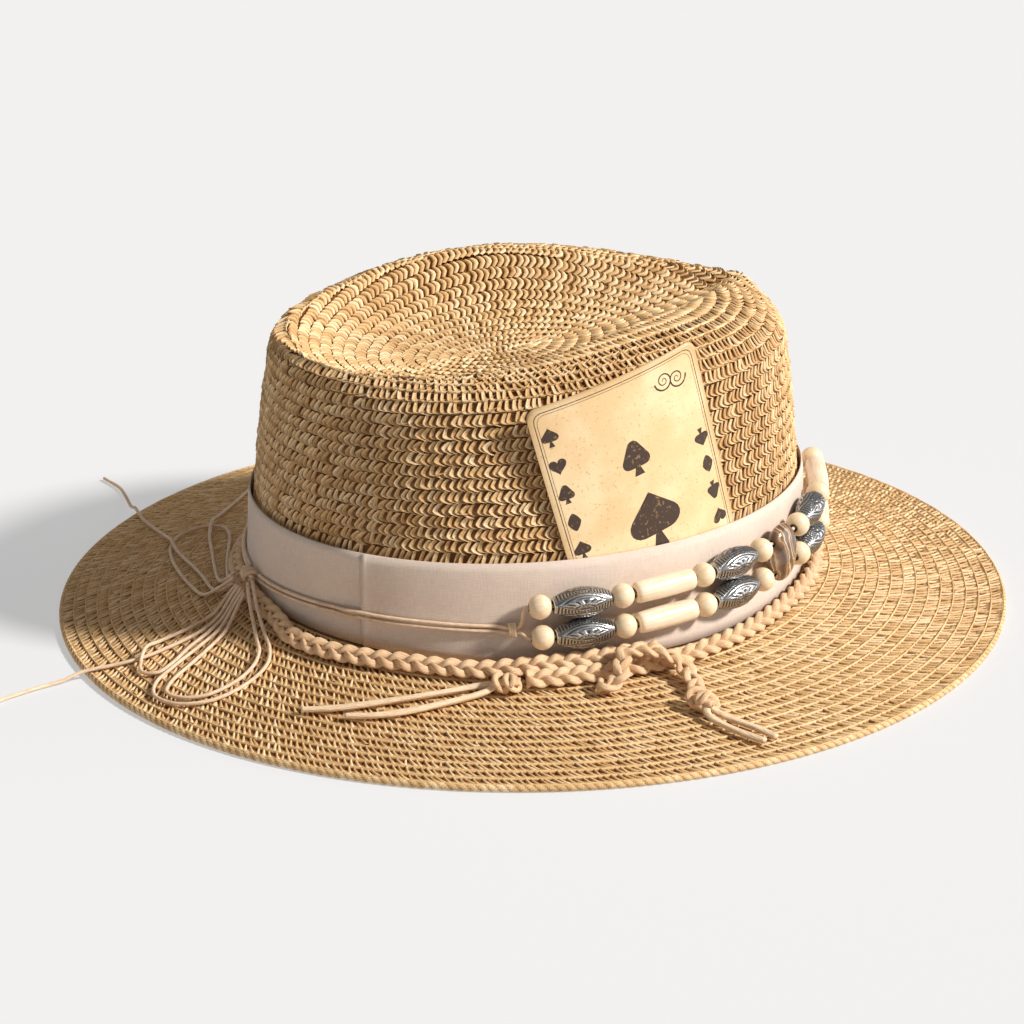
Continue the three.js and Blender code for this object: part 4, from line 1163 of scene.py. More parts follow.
class RepeatedStrands:
    """A Geometry Nodes tree that sets one strand at every site of a row, each with its own tint."""

    def __init__(self, strand: bpy.types.Object, material: bpy.types.Material) -> None:
        """Builds the tree.

        Args:
            strand: The strand that is repeated.
            material: Its finish.
        """
        tree = bpy.data.node_groups.new("strands_on_rows", "GeometryNodeTree")
        self.tree = tree
        face = tree.interface
        face.new_socket("Sites", in_out="INPUT", socket_type="NodeSocketGeometry")
        self.seed = face.new_socket("Seed", in_out="INPUT", socket_type="NodeSocketInt").identifier
        face.new_socket("Strands", in_out="OUTPUT", socket_type="NodeSocketGeometry")
        add, link = tree.nodes.new, tree.links.new
        entry, leave = add("NodeGroupInput"), add("NodeGroupOutput")
        source = add("GeometryNodeObjectInfo")
        source.inputs["Object"].default_value = strand
        turn = add("FunctionNodeAxesToRotation")
        turn.primary_axis, turn.secondary_axis = "Z", "X"
        link(self._named("normal").outputs[0], turn.inputs["Primary Axis"])
        link(self._named("along").outputs[0], turn.inputs["Secondary Axis"])
        points = add("GeometryNodeInstanceOnPoints")
        link(entry.outputs["Sites"], points.inputs["Points"])
        link(source.outputs["Geometry"], points.inputs["Instance"])
        link(turn.outputs[0], points.inputs["Rotation"])
        link(self._named("size").outputs[0], points.inputs["Scale"])
        chance = add("FunctionNodeRandomValue")
        chance.data_type = "FLOAT"
        link(entry.outputs["Seed"], chance.inputs["Seed"])
        store = add("GeometryNodeStoreNamedAttribute")
        store.data_type, store.domain = "FLOAT", "INSTANCE"
        store.inputs["Name"].default_value = "tint"
        link(points.outputs[0], store.inputs["Geometry"])
        link([o for o in chance.outputs if o.enabled][0], store.inputs["Value"])
        whole = add("GeometryNodeRealizeInstances")
        link(store.outputs[0], whole.inputs[0])
        dress = add("GeometryNodeSetMaterial")
        dress.inputs["Material"].default_value = material
        link(whole.outputs[0], dress.inputs[0])
        link(dress.outputs[0], leave.inputs[0])

    def _named(self, name: str) -> bpy.types.Node:
        """A node that reads a vector of the sites.

        Args:
            name: The attribute's name.

        Returns:
            The node.
        """
        node = self.tree.nodes.new("GeometryNodeInputNamedAttribute")
        node.data_type = "FLOAT_VECTOR"
        node.inputs["Name"].default_value = name
        return node

    def build(self, name: str, sites: dict[str, np.ndarray], seed: int) -> bpy.types.Object:
        """Sets the strands out and makes them one plain mesh.

        Args:
            name: The piece's name.
            sites: The places, directions and sizes from the rows.
            seed: The seed of the tints.

        Returns:
            The piece.
        """
        mesh = bpy.data.meshes.new(name + "_sites")
        mesh.from_pydata((sites["place"] * MM).tolist(), [], [])
        for key in ("along", "normal", "size"):
            attribute = mesh.attributes.new(key, "FLOAT_VECTOR", "POINT")
            attribute.data.foreach_set("vector", sites[key].astype(np.float32).ravel())
        carrier = placed(name + "_sites", mesh, None)
        modifier = carrier.modifiers.new("strands", "NODES")
        modifier.node_group = self.tree
        modifier[self.seed] = seed
        made = evaluated_mesh(carrier)
        made.name = name
        bpy.data.objects.remove(carrier)
        for key in ("along", "normal", "size"):
            if key in made.attributes:
                made.attributes.remove(made.attributes[key])
        return placed(name, made, None)


@dataclass
class StrawHat:
    """The sewn crown and brim."""

    form: HatForm
    straw: bpy.types.Material
    sectors: int = 288
    crown_rows: float = 31.5
    dent_rows: int = 15
    hidden_rows: int = 8
    brim_rows: int = 17
    pitch: float = 2.3
    dent_sunk: float = -0.95
    side_sunk: float = -0.80
    brim_sunk: float = -0.95
    rim_share: float = 0.994
    rim_twists: int = 340
    rim_steps: int = 5
    rim_sides: int = 10

    def build(self) -> list[bpy.types.Object]:
        """Builds the crown's and the brim's shells and strands."""
        return [*self._crown(), *self._brim()]

    def _crown(self) -> list[bpy.types.Object]:
        """The crown, from the button to its foot.

        Returns:
            The pieces.
        """
        lines = self.form.crown_lines(full_turn(self.sectors))
        edges = []
        for line, walk in zip(lines, walked_along(lines)):
            to_ribbon = np.interp(-RIBBON_TOP, -line[len(line) // 2:, 2], walk[len(line) // 2:])
            shown = np.arange(int(self.crown_rows) + 1) / self.crown_rows * to_ribbon
            hidden = to_ribbon + (np.arange(self.hidden_rows) + 1) / self.hidden_rows * (walk[-1] - to_ribbon)
            edges.append(np.r_[shown, hidden])
        rows = StrawRows(lines, np.array(edges))
        shell = rows.shell("crown_rows", self.straw, "straw_crown", "straw_crown_top")
        plump = RepeatedStrands(DENT_STRAND.build(), self.straw)
        slim = RepeatedStrands(SIDE_STRAND.build(), self.straw)
        dent = rows.strand_sites(range(self.dent_rows), self.pitch, self.dent_sunk, seed=5, uneven=0.6)
        side = rows.strand_sites(range(self.dent_rows, int(self.crown_rows) + 1), self.pitch, self.side_sunk,
                                 seed=6, uneven=1.0)
        return [shell, plump.build("dent_strands", dent, 3), slim.build("side_strands", side, 9)]

    def _brim(self) -> list[bpy.types.Object]:
        """The brim, from under the crown's wall to its edge.

        Returns:
            The pieces.
        """
        inner = -self.form.wall / (self.form.brim_length - self.form.foot_length)
        lines = self.form.brim_at(np.linspace(inner, 1, 120)[None], full_turn(self.sectors)[:, None])
        edges = walked_along(lines)[:, -1:] * np.linspace(0, 1, self.brim_rows + 1)[None]
        rows = StrawRows(lines, edges, BRIM_PROFILE)
        shell = rows.shell("brim_rows", self.straw, "straw_brim")
        strands = RepeatedStrands(BRIM_STRAND.build(), self.straw)
        sites = rows.strand_sites(range(1, self.brim_rows), self.pitch, self.brim_sunk, seed=8, uneven=0.8)
        return [shell, strands.build("brim_strands", sites, 4), self._rim()]

    def _rim(self) -> bpy.types.Object:
        """The brim's outer edge, whipped over and over like a rope.

        Returns:
            The piece.
        """
        angles, turn = full_turn(self.rim_twists * self.rim_steps), full_turn(self.rim_sides)
        edge = self.form.brim_at(np.array(self.rim_share), angles)
        edge[:, 2] = self.form.edge / 2
        out = unit(np.stack([np.cos(angles) / self.form.brim_length, np.sin(angles) / self.form.brim_width,
                             0 * angles], axis=1))
        wave = np.clip(0.75 + 0.75 * np.cos(angles[:, None] * self.rim_twists + turn[None] * 2), 0, 1)
        radius = self.form.edge / 2 * (0.80 + 0.20 * wave)
        ring = (edge[:, None] + out[:, None] * (radius * np.cos(turn))[..., None] * 0.85
                + UP * (radius * np.sin(turn))[..., None])
        book = MeshBook()
        # Painted shade: the marks darken the rim in the dips between its whipped twists.
        book.add(ring.reshape(-1, 3), grid_faces(len(angles), len(turn), ring_loop=True), None,
                 (0.15 + 0.75 * wave).reshape(-1))
        made = book.build("brim_edge", self.straw)
        tints = np.random.default_rng(2).random(self.rim_twists)
        put_numbers(made.data, "tint", np.repeat(tints, self.rim_steps * self.rim_sides) * 0.7 + 0.15)
        return made


@dataclass
class RibbonBand:
    """The linen ribbon round the crown's foot, with one end lapped over the other."""

    form: HatForm
    linen: bpy.types.Material
    stand_off: float = RIBBON_STAND_OFF
    thickness: float = RIBBON_THICKNESS
    top: float = RIBBON_TOP
    tilt: float = 0.8
    lap_angle: float = -151.0
    lap_length: float = 14.0
    seam_gap: float = 1e-4
    foot_gap: float = 0.6
    padding: float = 0.12
    soft_edge: float = 0.35
    ripple_size: float = 0.35
    weave_radius: float = 98.0
    columns: int = 420
    levels: int = 12

    def thickness_at(self, angle: np.ndarray) -> np.ndarray:
        """The ribbon's thickness round the hat, with the lap's second layer.

        Args:
            angle: The direction round the hat, in radians.

        Returns:
            The thickness, in millimetres.
        """
        past = np.mod(np.degrees(angle) - self.lap_angle, 360)
        lap = np.where(past < self.lap_length, 1 - past / self.lap_length, 0)
        return self.thickness * (1 + lap + 0.9 * np.exp(-past / 0.7))

    def build(self) -> bpy.types.Object:
        """Builds the ribbon with softly rounded edges.

        Returns:
            The piece.
        """
        seam = math.radians(self.lap_angle)
        angles = seam + np.linspace(0, 2 * np.pi, self.columns, endpoint=False)
        angles[0] += self.seam_gap
        angles = np.r_[seam - self.seam_gap, angles]
        low = self.form.foot_at(angles) + self.foot_gap
        high = self.top + self.tilt * np.cos(angles)
        thick = self.thickness_at(angles)
        share = np.linspace(0, 1, self.levels)
        ripple = np.random.default_rng(4)
        waves = sum(np.sin(angles * k + ripple.random() * 7) / k for k in (9, 14, 23, 31)) * self.ripple_size
        rings, uvs = [], []
        for face_out in (True, False):
            for s in share if face_out else share[::-1]:
                height = low + (high - low) * s
                bulge = self.padding * waves * math.sin(math.pi * s)
                edge = self.soft_edge * (abs(2 * s - 1) ** 10) * thick
                out = self.stand_off + (thick - edge + bulge if face_out else 0 * thick)
                rings.append(np.stack([
                    self.form.wall_at(a, np.float64(h), o) for a, h, o in zip(angles, height, out)]))
                uvs.append(np.stack([angles * self.weave_radius * MM, height * MM], axis=1))
        book = MeshBook()
        book.add(np.concatenate(rings), grid_faces(len(rings), len(angles), ring_loop=True), np.concatenate(uvs))
        return book.build("ribbon", self.linen, nodes=("ribbon_band",))


class Pip(Enum):
    """The suit marks that are printed on the card."""

    SPADE = "spade"
    HEART = "heart"
    DIAMOND = "diamond"
    CLUB = "club"

    def outline(self) -> np.ndarray:
        """The mark's outline, one unit high and centred.

        Returns:
            The outline's points.
        """
        turn = np.linspace(0, 2 * np.pi, 40, endpoint=False)
        if self is Pip.DIAMOND:
            power = 1.35
            reach = (np.abs(np.cos(turn)) ** power + np.abs(np.sin(turn)) ** power) ** (-1 / power)
            return np.stack([0.36 * reach * np.cos(turn), 0.5 * reach * np.sin(turn)], axis=1)
        x = 16 * np.sin(turn) ** 3 / 34
        y = (13 * np.cos(turn) - 5 * np.cos(2 * turn) - 2 * np.cos(3 * turn) - np.cos(4 * turn)) / 34
        heart = np.stack([x, y], axis=1)
        if self is Pip.HEART:
            return heart
        if self is Pip.SPADE:
            return heart * np.array([1.0, -0.86]) + np.array([0.0, 0.08])
        lobe = 0.44 + 0.11 * np.cos(3 * (turn - np.pi / 2))
        return np.stack([0.86 * lobe * np.cos(turn), 0.86 * lobe * np.sin(turn) + 0.05], axis=1)


@dataclass
class PlayingCard:
    """A plain old card tucked behind the ribbon, printed with suit marks and a lined border."""

    form: HatForm
    stock: bpy.types.Material
    ink: bpy.types.Material
    width: float = 63.5
    height: float = 86.0
    thickness: float = 0.35
    corner: float = 3.5
    angle: float = -92.7
    centre: float = 65.8
    tilt: float = 16.0
    lean: float = 0.04
    gap: float = 0.3
    ink_lift: float = 0.03
    line_lift: float = 0.025
    cell: float = 1.4
    column: float = 26.0
    first_mark: float = 32.0
    mark_pitch: float = 10.2
    mark_size: float = 6.4

    def __post_init__(self) -> None:
        """Measures the wall's oval, so that the card can be laid along it."""
        front, side = self.form.wall_at(np.array([0, np.pi / 2]), np.full(2, RIBBON_TOP))
        self._turns = np.linspace(-np.pi, np.pi, 1441)
        length, width = front[0] - self.form.centre_x, side[1]
        self._walked = walked_along(np.stack([length * np.cos(self._turns), width * np.sin(self._turns)], axis=1))

    def on_card(self, across: np.ndarray, up: np.ndarray, over: float) -> np.ndarray:
        """A point of the card's sheet, over its back face.

        Args:
            across: Places across the card, from its middle.
            up: Places along its height, from its middle.
            over: The height over its back face.

        Returns:
            The points.
        """
        tilt = math.radians(self.tilt)
        along = across * math.cos(tilt) - up * math.sin(tilt)
        height = self.centre + across * math.sin(tilt) + up * math.cos(tilt)
        start = np.interp(math.radians(self.angle), self._turns, self._walked)
        angle = np.interp(start + along, self._walked, self._turns)
        rise = np.maximum(height - RIBBON_TOP, 0)
        out = self.gap + over - self.lean * rise
        low = self.form.wall_at(angle, np.minimum(height, RIBBON_TOP))
        low[..., 0] += out * np.cos(angle)
        low[..., 1] += out * np.sin(angle)
        low[..., 2] = height
        return low

    def build(self) -> list[bpy.types.Object]:
        """Builds the sheet and its print."""
        return [self._sheet(), self._print()]

    def _sheet(self) -> bpy.types.Object:
        """The card itself, with rounded corners.

        Returns:
            The piece.
        """
        half, tall = self.width / 2, self.height / 2
        bend = self.corner * (1 - np.cos(np.linspace(0, np.pi / 2, 7)))
        columns = np.unique(np.round(np.r_[-half + bend, np.linspace(-half + self.corner, half - self.corner, 26),
                                           half - bend], 6))
        shares = np.linspace(-1, 1, 44)
        into = np.clip(np.abs(columns) - (half - self.corner), 0, self.corner)
        reach = tall - (self.corner - np.sqrt(np.clip(self.corner ** 2 - into ** 2, 0, None)))
        across = np.broadcast_to(columns, (len(shares), len(columns)))
        up = shares[:, None] * reach[None]
        uv = np.stack([across / self.width + 0.5, up / self.height + 0.5], axis=-1).reshape(-1, 2)
        front = self.on_card(across, up, self.thickness).reshape(-1, 3)
        back = self.on_card(across, up, 0.0).reshape(-1, 3)
        rows, count = up.shape
        faces = grid_faces(rows, count, line_loop=False)
        size = rows * count
        faces += [tuple(i + size for i in face[::-1]) for face in faces]
        number = np.arange(size).reshape(rows, count)
        border = [*number[0].tolist(), *number[1:, -1].tolist(), *number[-1, -2::-1].tolist(),
                  *number[-2:0:-1, 0].tolist()]
        faces += [(a + size, b + size, b, a) for a, b in zip(border, border[1:] + border[:1])]
        book = MeshBook()
        book.add(np.concatenate([front, back]), faces, np.concatenate([uv, uv]))
        return book.build("old_card", self.stock, nodes=("playing_card",))

    def _print(self) -> bpy.types.Object:
        """The print: a column of suit marks on both long edges, a centre mark and a lined border.

        Returns:
            The piece.
        """
        book = MeshBook()
        order = [Pip.SPADE, Pip.HEART, Pip.CLUB, Pip.DIAMOND, Pip.SPADE]
        for i, pip in enumerate(order):
            place = self.first_mark - self.mark_pitch * i
            self._mark(book, pip, -self.column, place, self.mark_size, 1.0)
            self._mark(book, pip, self.column, -place, self.mark_size, -1.0)
        self._mark(book, Pip.CLUB, 0.0, 14.0, 12.0, 1.0)
        self._mark(book, Pip.SPADE, 1.0, -10.0, 21.0, 1.0)
        for inset, thick in ((2.0, 0.28), (2.9, 0.14)):
            self._frame(book, inset, thick)
        for turn, x, y in ((1.0, 17.5, 33.5), (-1.0, -17.5, -33.5)):
            self._scroll(book, x, y, turn)
        return book.build("card_print", self.ink, smooth=False)

    def _fill(self, book: MeshBook, outline: np.ndarray) -> None:
        """Fills an outline with ink on the card's face.

        Args:
            book: The mesh that takes the ink.
            outline: The outline's points, on the card.
        """
        flat = bmesh.new()
        ring = [flat.verts.new((x, y, 0)) for x, y in outline]
        flat.faces.new(ring)
        bmesh.ops.triangulate(flat, faces=flat.faces[:], ngon_method="EAR_CLIP")
        for axis in ((1.0, 0.0, 0.0), (0.0, 1.0, 0.0)):
            low, high = (end(Vector(axis) @ v.co for v in flat.verts) for end in (min, max))
            for place in np.arange(low + self.cell / 2, high, self.cell):
                everything = flat.verts[:] + flat.edges[:] + flat.faces[:]
                bmesh.ops.bisect_plane(flat, geom=everything, plane_co=Vector(axis) * float(place), plane_no=axis)
        bmesh.ops.triangulate(flat, faces=flat.faces[:])
        flat.verts.index_update()
        points = np.array([v.co[:2] for v in flat.verts])
        faces = [tuple(v.index for v in f.verts) for f in flat.faces]
        faces = [f if np.cross(points[f[1]] - points[f[0]], points[f[2]] - points[f[0]]) > 0 else f[::-1]
                 for f in faces]
        flat.free()
        book.add(self.on_card(points[:, 0], points[:, 1], self.thickness + self.ink_lift), faces)

    def _mark(self, book: MeshBook, pip: Pip, x: float, y: float, size: float, way: float) -> None:
        """One suit mark, with a stem under a spade or a club.

        Args:
            book: The mesh that takes the ink.
            pip: The suit.
            x: The mark's place across the card.
            y: Its place along the card.
            size: Its height.
            way: 1 upright, -1 upside down.
        """
        self._fill(book, pip.outline() * size * way + np.array([x, y]))
        if pip in (Pip.SPADE, Pip.CLUB):
            stem = np.array([(-0.05, -0.2), (-0.16, -0.52), (0.16, -0.52), (0.05, -0.2)]) * size * way
            self._fill(book, stem + np.array([x, y]))

    def _line(self, book: MeshBook, path: np.ndarray, thick: np.ndarray | float) -> None:
        """A drawn line of ink.

        Args:
            book: The mesh that takes the ink.
            path: The line's points, on the card.
            thick: Its thickness, one for all points or one for each.
        """
        along = unit(np.gradient(path, axis=0))
        side = np.stack([-along[:, 1], along[:, 0]], axis=1) * np.asarray(thick).reshape(-1, 1) / 2
        edge = np.concatenate([path - side, path + side])
        book.add(self.on_card(edge[:, 0], edge[:, 1], self.thickness + self.line_lift),
                 grid_faces(2, len(path), line_loop=False))

    def _frame(self, book: MeshBook, inset: float, thick: float) -> None:
        """A border line with rounded corners, all round the card.

        Args:
            book: The mesh that takes the ink.
            inset: How far it is in from the card's edge.
            thick: Its thickness.
        """
        x, y, r = self.width / 2 - inset, self.height / 2 - inset, self.corner - 0.6
        points = []
        for cx, cy, start in ((x - r, y - r, 0), (r - x, y - r, 90), (r - x, r - y, 180), (x - r, r - y, 270)):
            turn = np.radians(start + np.linspace(0, 90, 8))
            points.append(np.stack([cx + r * np.cos(turn), cy + r * np.sin(turn)], axis=1))
        ring = np.vstack([*points, points[0][:1]])
        flat = even_steps(np.c_[ring, np.zeros(len(ring))], 1.5)[:, :2]
        self._line(book, flat, thick)

    def _scroll(self, book: MeshBook, x: float, y: float, way: float) -> None:
        """A pair of plain spiral scrolls in a corner.

        Args:
            book: The mesh that takes the ink.
            x: The pair's place across the card.
            y: Its place along the card.
            way: 1 in the upper corner, -1 in the lower one.
        """
        turn = np.linspace(0, 4.2 * np.pi, 60)
        radius = 0.35 + 3.3 * (turn / turn[-1]) ** 1.3
        for flip in (1.0, -1.0):
            curl = np.stack([radius * np.cos(turn) * flip, radius * np.sin(turn)], axis=1)
            curl = curl @ np.array([[0.8, -0.6 * flip], [0.6 * flip, 0.8]])
            place = np.array([x + (4.6 if flip > 0 else -0.6) * way, y - (0.0 if flip > 0 else -1.2) * way])
            self._line(book, curl * way + place, np.linspace(0.2, 0.62, 60))


class BeadKind(Enum):
    """The kinds of bead on the two rows."""

    ROUND = "round"
    METAL = "metal"
    TUBE = "tube"


@dataclass
class BeadRows:
    """Two rows of beads that spread from one drilled stone, and the two strings that carry them."""

    form: HatForm
    wood: bpy.types.Material
    bone: bpy.types.Material
    metal: bpy.types.Material
    stone: bpy.types.Material
    panel_lift: float = 0.5
    panel_sides: int = 112
    bore: float = 2.4
    # Bead points nearer the bore's line than this get painted shade.
    bore_mark: float = 1.25
    gap: float = 0.45
    row_gap: float = 10.2
    stone_size: tuple[float, float, float] = (17.0, 19.5, 8.0)
    stone_angle: float = -60.5
    stone_height: float = 33.4
    rise: float = 0.066
    clearance: float = 0.3
    bead_radius: float = 4.9
    slack: float = 0.5
    on_ribbon: float = RIBBON_STAND_OFF + RIBBON_THICKNESS + clearance
    out: float = on_ribbon + bead_radius + slack
    order: tuple[BeadKind, ...] = (
        BeadKind.ROUND, BeadKind.METAL, BeadKind.ROUND, BeadKind.TUBE, BeadKind.ROUND, BeadKind.METAL, BeadKind.ROUND)
    front_count: int = 5
    sizes: dict[BeadKind, tuple[float, float]] = field(default_factory=lambda: {
        BeadKind.ROUND: (7.6, 8.2), BeadKind.METAL: (19.6, 9.8), BeadKind.TUBE: (22.8, 7.6)})

    def row_point(self, angle: float, row: float) -> np.ndarray:
        """A point of a row's string."""
        height = self.stone_height + self.rise * (angle - self.stone_angle) + row * self.row_gap / 2
        return self.form.wall_at(np.radians(angle), np.float64(height), self.out)

    def step(self, angle: float, row: float, distance: float, side: float) -> float:
        """The angle a distance further along a row.

        Args:
            angle: Where it starts, in degrees.
            row: 1 for the upper row, -1 for the lower one, 0 between them.
            distance: The straight distance.
            side: 1 towards the hat's front, -1 towards its back.

        Returns:
            The new angle, in degrees.
        """
        start, near, far = self.row_point(angle, row), 0.0, 40.0
        for _ in range(40):
            turn = (near + far) / 2
            if np.linalg.norm(self.row_point(angle + side * turn, row) - start) < distance:
                near = turn
            else:
                far = turn
        return angle + side * near

    def places(self, row: float, side: float) -> list[tuple[BeadKind, float, float]]:
        """The beads of one side of a row, with the angles of their ends.

        Args:
            row: 1 for the upper row, -1 for the lower one, 0 between them.
            side: 1 towards the hat's front, -1 towards its back.

        Returns:
            A kind and two angles for each bead, from the stone outwards.
        """
        angle = self.step(self.stone_angle, row, self.stone_size[0] / 2 + self.gap, side)
        found = []
        for kind in self.order if side < 0 else self.order[:self.front_count]:
            end = self.step(angle, row, self.sizes[kind][0], side)
            found.append((kind, angle, end))
            angle = self.step(end, row, self.gap, side)
        return found

    def build(self) -> list[bpy.types.Object]:
        """Builds every bead and the stone.

        Returns:
            The pieces.
        """
        books = {kind: MeshBook() for kind in BeadKind}
        nodes: dict[BeadKind, list[str]] = {kind: [] for kind in BeadKind}
        makers = {BeadKind.ROUND: self._round, BeadKind.METAL: self._metal, BeadKind.TUBE: self._tube}
        for row_name, row in (("upper", 1.0), ("lower", -1.0)):
            for place, side in (("back", -1.0), ("front", 1.0)):
                for i, (kind, start, end) in enumerate(self.places(row, side)):
                    makers[kind](books[kind], self.row_point(start, row), self.row_point(end, row))
                    nodes[kind].append(f"bead_{kind.value}_{row_name}_{place}_{i + 1}")
        made = []
        finishes = {BeadKind.ROUND: self.wood, BeadKind.METAL: self.metal, BeadKind.TUBE: self.bone}
        for kind in BeadKind:
            made.append(books[kind].build(f"{kind.value}_beads", finishes[kind], nodes=nodes[kind]))
        return [*made, self._stone()]

    def _round(self, book: MeshBook, low: np.ndarray, high: np.ndarray) -> None:
        """A round wooden bead with a drilled hole.

        Args:
            book: The mesh that takes the bead.
            low: One end of its bore.
            high: The other end.
        """
        width, hole = self.sizes[BeadKind.ROUND][1], self.bore / 2
        turn = np.linspace(math.asin(hole * 2 / width), math.pi - math.asin(hole * 2 / width), 20)
        ball = np.stack([width / 2 * np.sin(turn), 0.5 - 0.5 * np.cos(turn) / math.cos(turn[0])], axis=1)
        profile = np.vstack([(hole * 0.92, 0.06), (hole * 0.97, 0.01), ball, (hole * 0.97, 0.99), (hole * 0.92, 0.94)])
        lathe(book, profile, low, high, 28, self.bore_mark)

    def _tube(self, book: MeshBook, low: np.ndarray, high: np.ndarray) -> None:
        """A bone tube, a little full in the middle, with rounded ends.

        Args:
            book: The mesh that takes the bead.
            low: One end of its bore.
            high: The other end.
        """
        hole, r = self.bore / 2, self.sizes[BeadKind.TUBE][1] / 2
        along = np.linspace(0.07, 0.93, 16)
        body = np.stack([r * (1 - 0.09 * (2 * along - 1) ** 2), along], axis=1)
        ends = [(hole, 0.0), (r * 0.55, 0.001), (r * 0.76, 0.014), (r * 0.88, 0.038)]
        other = [(x, 1 - y) for x, y in ends[::-1]]
        profile = np.vstack([(hole * 0.9, 0.04), ends, body, other, (hole * 0.9, 0.96)])
        lathe(book, profile, low, high, 32, self.bore_mark)

    def _metal(self, book: MeshBook, low: np.ndarray, high: np.ndarray) -> None:
        """A cast bead: four pointed panels with a fan in each, between ribbed bands.

        Args:
            book: The mesh that takes the bead.
            low: One end of its bore.
            high: The other end.
        """
        along, turn = np.linspace(0, 1, 74), full_turn(self.panel_sides)
        t, a = np.meshgrid(along, turn, indexing="ij")
        body = 0.5 * self.sizes[BeadKind.METAL][1] * (0.47 + 0.53 * np.sin(np.pi * t) ** 0.8)
        axis, first, second = spindle(low, high)
        facing = unit(np.array([*(low + high)[:2], 0.0])) + np.array([0, 0, self.panel_lift])
        shown = np.arctan2(facing @ second, facing @ first)
        local = ((a - shown + np.pi / 4) % (np.pi / 2) - np.pi / 4) / (np.pi / 4)
        bound = 0.86 * np.sin(np.pi * t) ** 0.75 + 0.02
        depth = np.abs(local) - bound
        rail = np.exp(-(depth / 0.045) ** 2) + 0.8 * np.exp(-((depth + 0.17) / 0.03) ** 2)
        ribs = np.where(depth > 0.07, 0.5 + 0.5 * np.sin(t * 2 * np.pi * 19), 0.0)
        x, y = (t - 0.5) * 2.1, local / 0.8
        spread, far = np.arctan2(y + 0.75, x), np.hypot(x, y + 0.75)
        fan = (0.5 + 0.5 * np.sin(spread * 15)) * (far < 0.86)
        arcs = np.exp(-((far - 0.90) / 0.05) ** 2) + np.exp(-((far - 0.42) / 0.05) ** 2)
        curls = (0.5 + 0.5 * np.sin(far * 21 + 4.5 * np.sin(spread * 3))) * (far >= 0.96)
        inside = np.where(depth < -0.22, np.clip(fan + arcs + curls, 0, 1), 0.12)
        relief = np.clip(np.where(depth > 0.0, ribs, inside) + rail, 0, 1)
        ends = np.clip(1 - np.abs(t - 0.5) * 2, 0, 0.10) / 0.10
        relief = np.where(ends < 0.5, 0.9, relief)
        radius_at = body * (1 + 0.05 * np.cos(4 * (a - shown))) - 0.34 * (1 - relief) * ends
        middle = low + (high - low) * along[:, None]
        out = first * np.cos(turn)[:, None] + second * np.sin(turn)[:, None]
        rings = middle[:, None] + out[None] * radius_at[..., None]
        hole = self.bore / 2
        lip = np.stack([low + axis * d + out * r for d, r in ((0.0, hole), (0.8, hole * 0.9))])
        tail = np.stack([high - axis * d + out * r for d, r in ((0.8, hole * 0.9), (0.0, hole))])
        verts = np.concatenate([lip[::-1], rings, tail[::-1]])
        plain = np.zeros((2, len(turn)))
        book.add(verts.reshape(-1, 3), grid_faces(len(verts), len(turn), ring_loop=True), None,
                 np.concatenate([plain, relief, plain]).reshape(-1))

    def _stone(self) -> bpy.types.Object:
        """The oval stone, drilled twice.

        Returns:
            The piece.
        """
        along, tall, thick = self.stone_size
        low = self.row_point(self.step(self.stone_angle, 0, along / 2, -1), 0)
        high = self.row_point(self.step(self.stone_angle, 0, along / 2, 1), 0)
        axis = unit(high - low)
        lean = unit(self.row_point(self.stone_angle, 1) - self.row_point(self.stone_angle, -1))
        outward = np.cross(axis, lean)
        ball = bmesh.new()
        bmesh.ops.create_uvsphere(ball, u_segments=48, v_segments=32, radius=0.5)
        frame = Matrix([Vector(way * size * MM) for way, size in ((outward, thick), (axis, along), (lean, tall))])
        ball.transform(Matrix.Translation(Vector((low + high) / 2 * MM)) @ frame.transposed().to_4x4())
        bmesh.ops.recalc_face_normals(ball, faces=ball.faces[:])
        mesh = bpy.data.meshes.new("agate")
        ball.to_mesh(mesh)
        ball.free()
        mesh.polygons.foreach_set("use_smooth", [True] * len(mesh.polygons))
        made = placed("agate", mesh, self.stone)
        for row in (1.0, -1.0):
            drill = MeshBook()
            line = np.stack([self.row_point(self.stone_angle, row) + axis * d for d in (-12, -6, 0, 6, 12)])
            sweep(drill, line, *carried_frames(line), round_section(self.bore / 2, 20))
            cutter = drill.build("drill")
            cut = made.modifiers.new("drill", "BOOLEAN")
            cut.operation, cut.object, cut.solver = "DIFFERENCE", cutter, "EXACT"
            bored = evaluated_mesh(made)
            made.modifiers.clear()
            made.data = bored
            bpy.data.objects.remove(cutter)
        made.data.materials.clear()
        made.data.materials.append(self.stone)
        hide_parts("agate_stone")
        return made


def declare_cord(made: bpy.types.Object, diameter: float) -> None:
    """Works out a cord's diameter in metres and drops it; the piece is left as it is.

    Args:
        made: The piece; not used.
        diameter: Its thickness, in millimetres.
    """
    diameter * MM


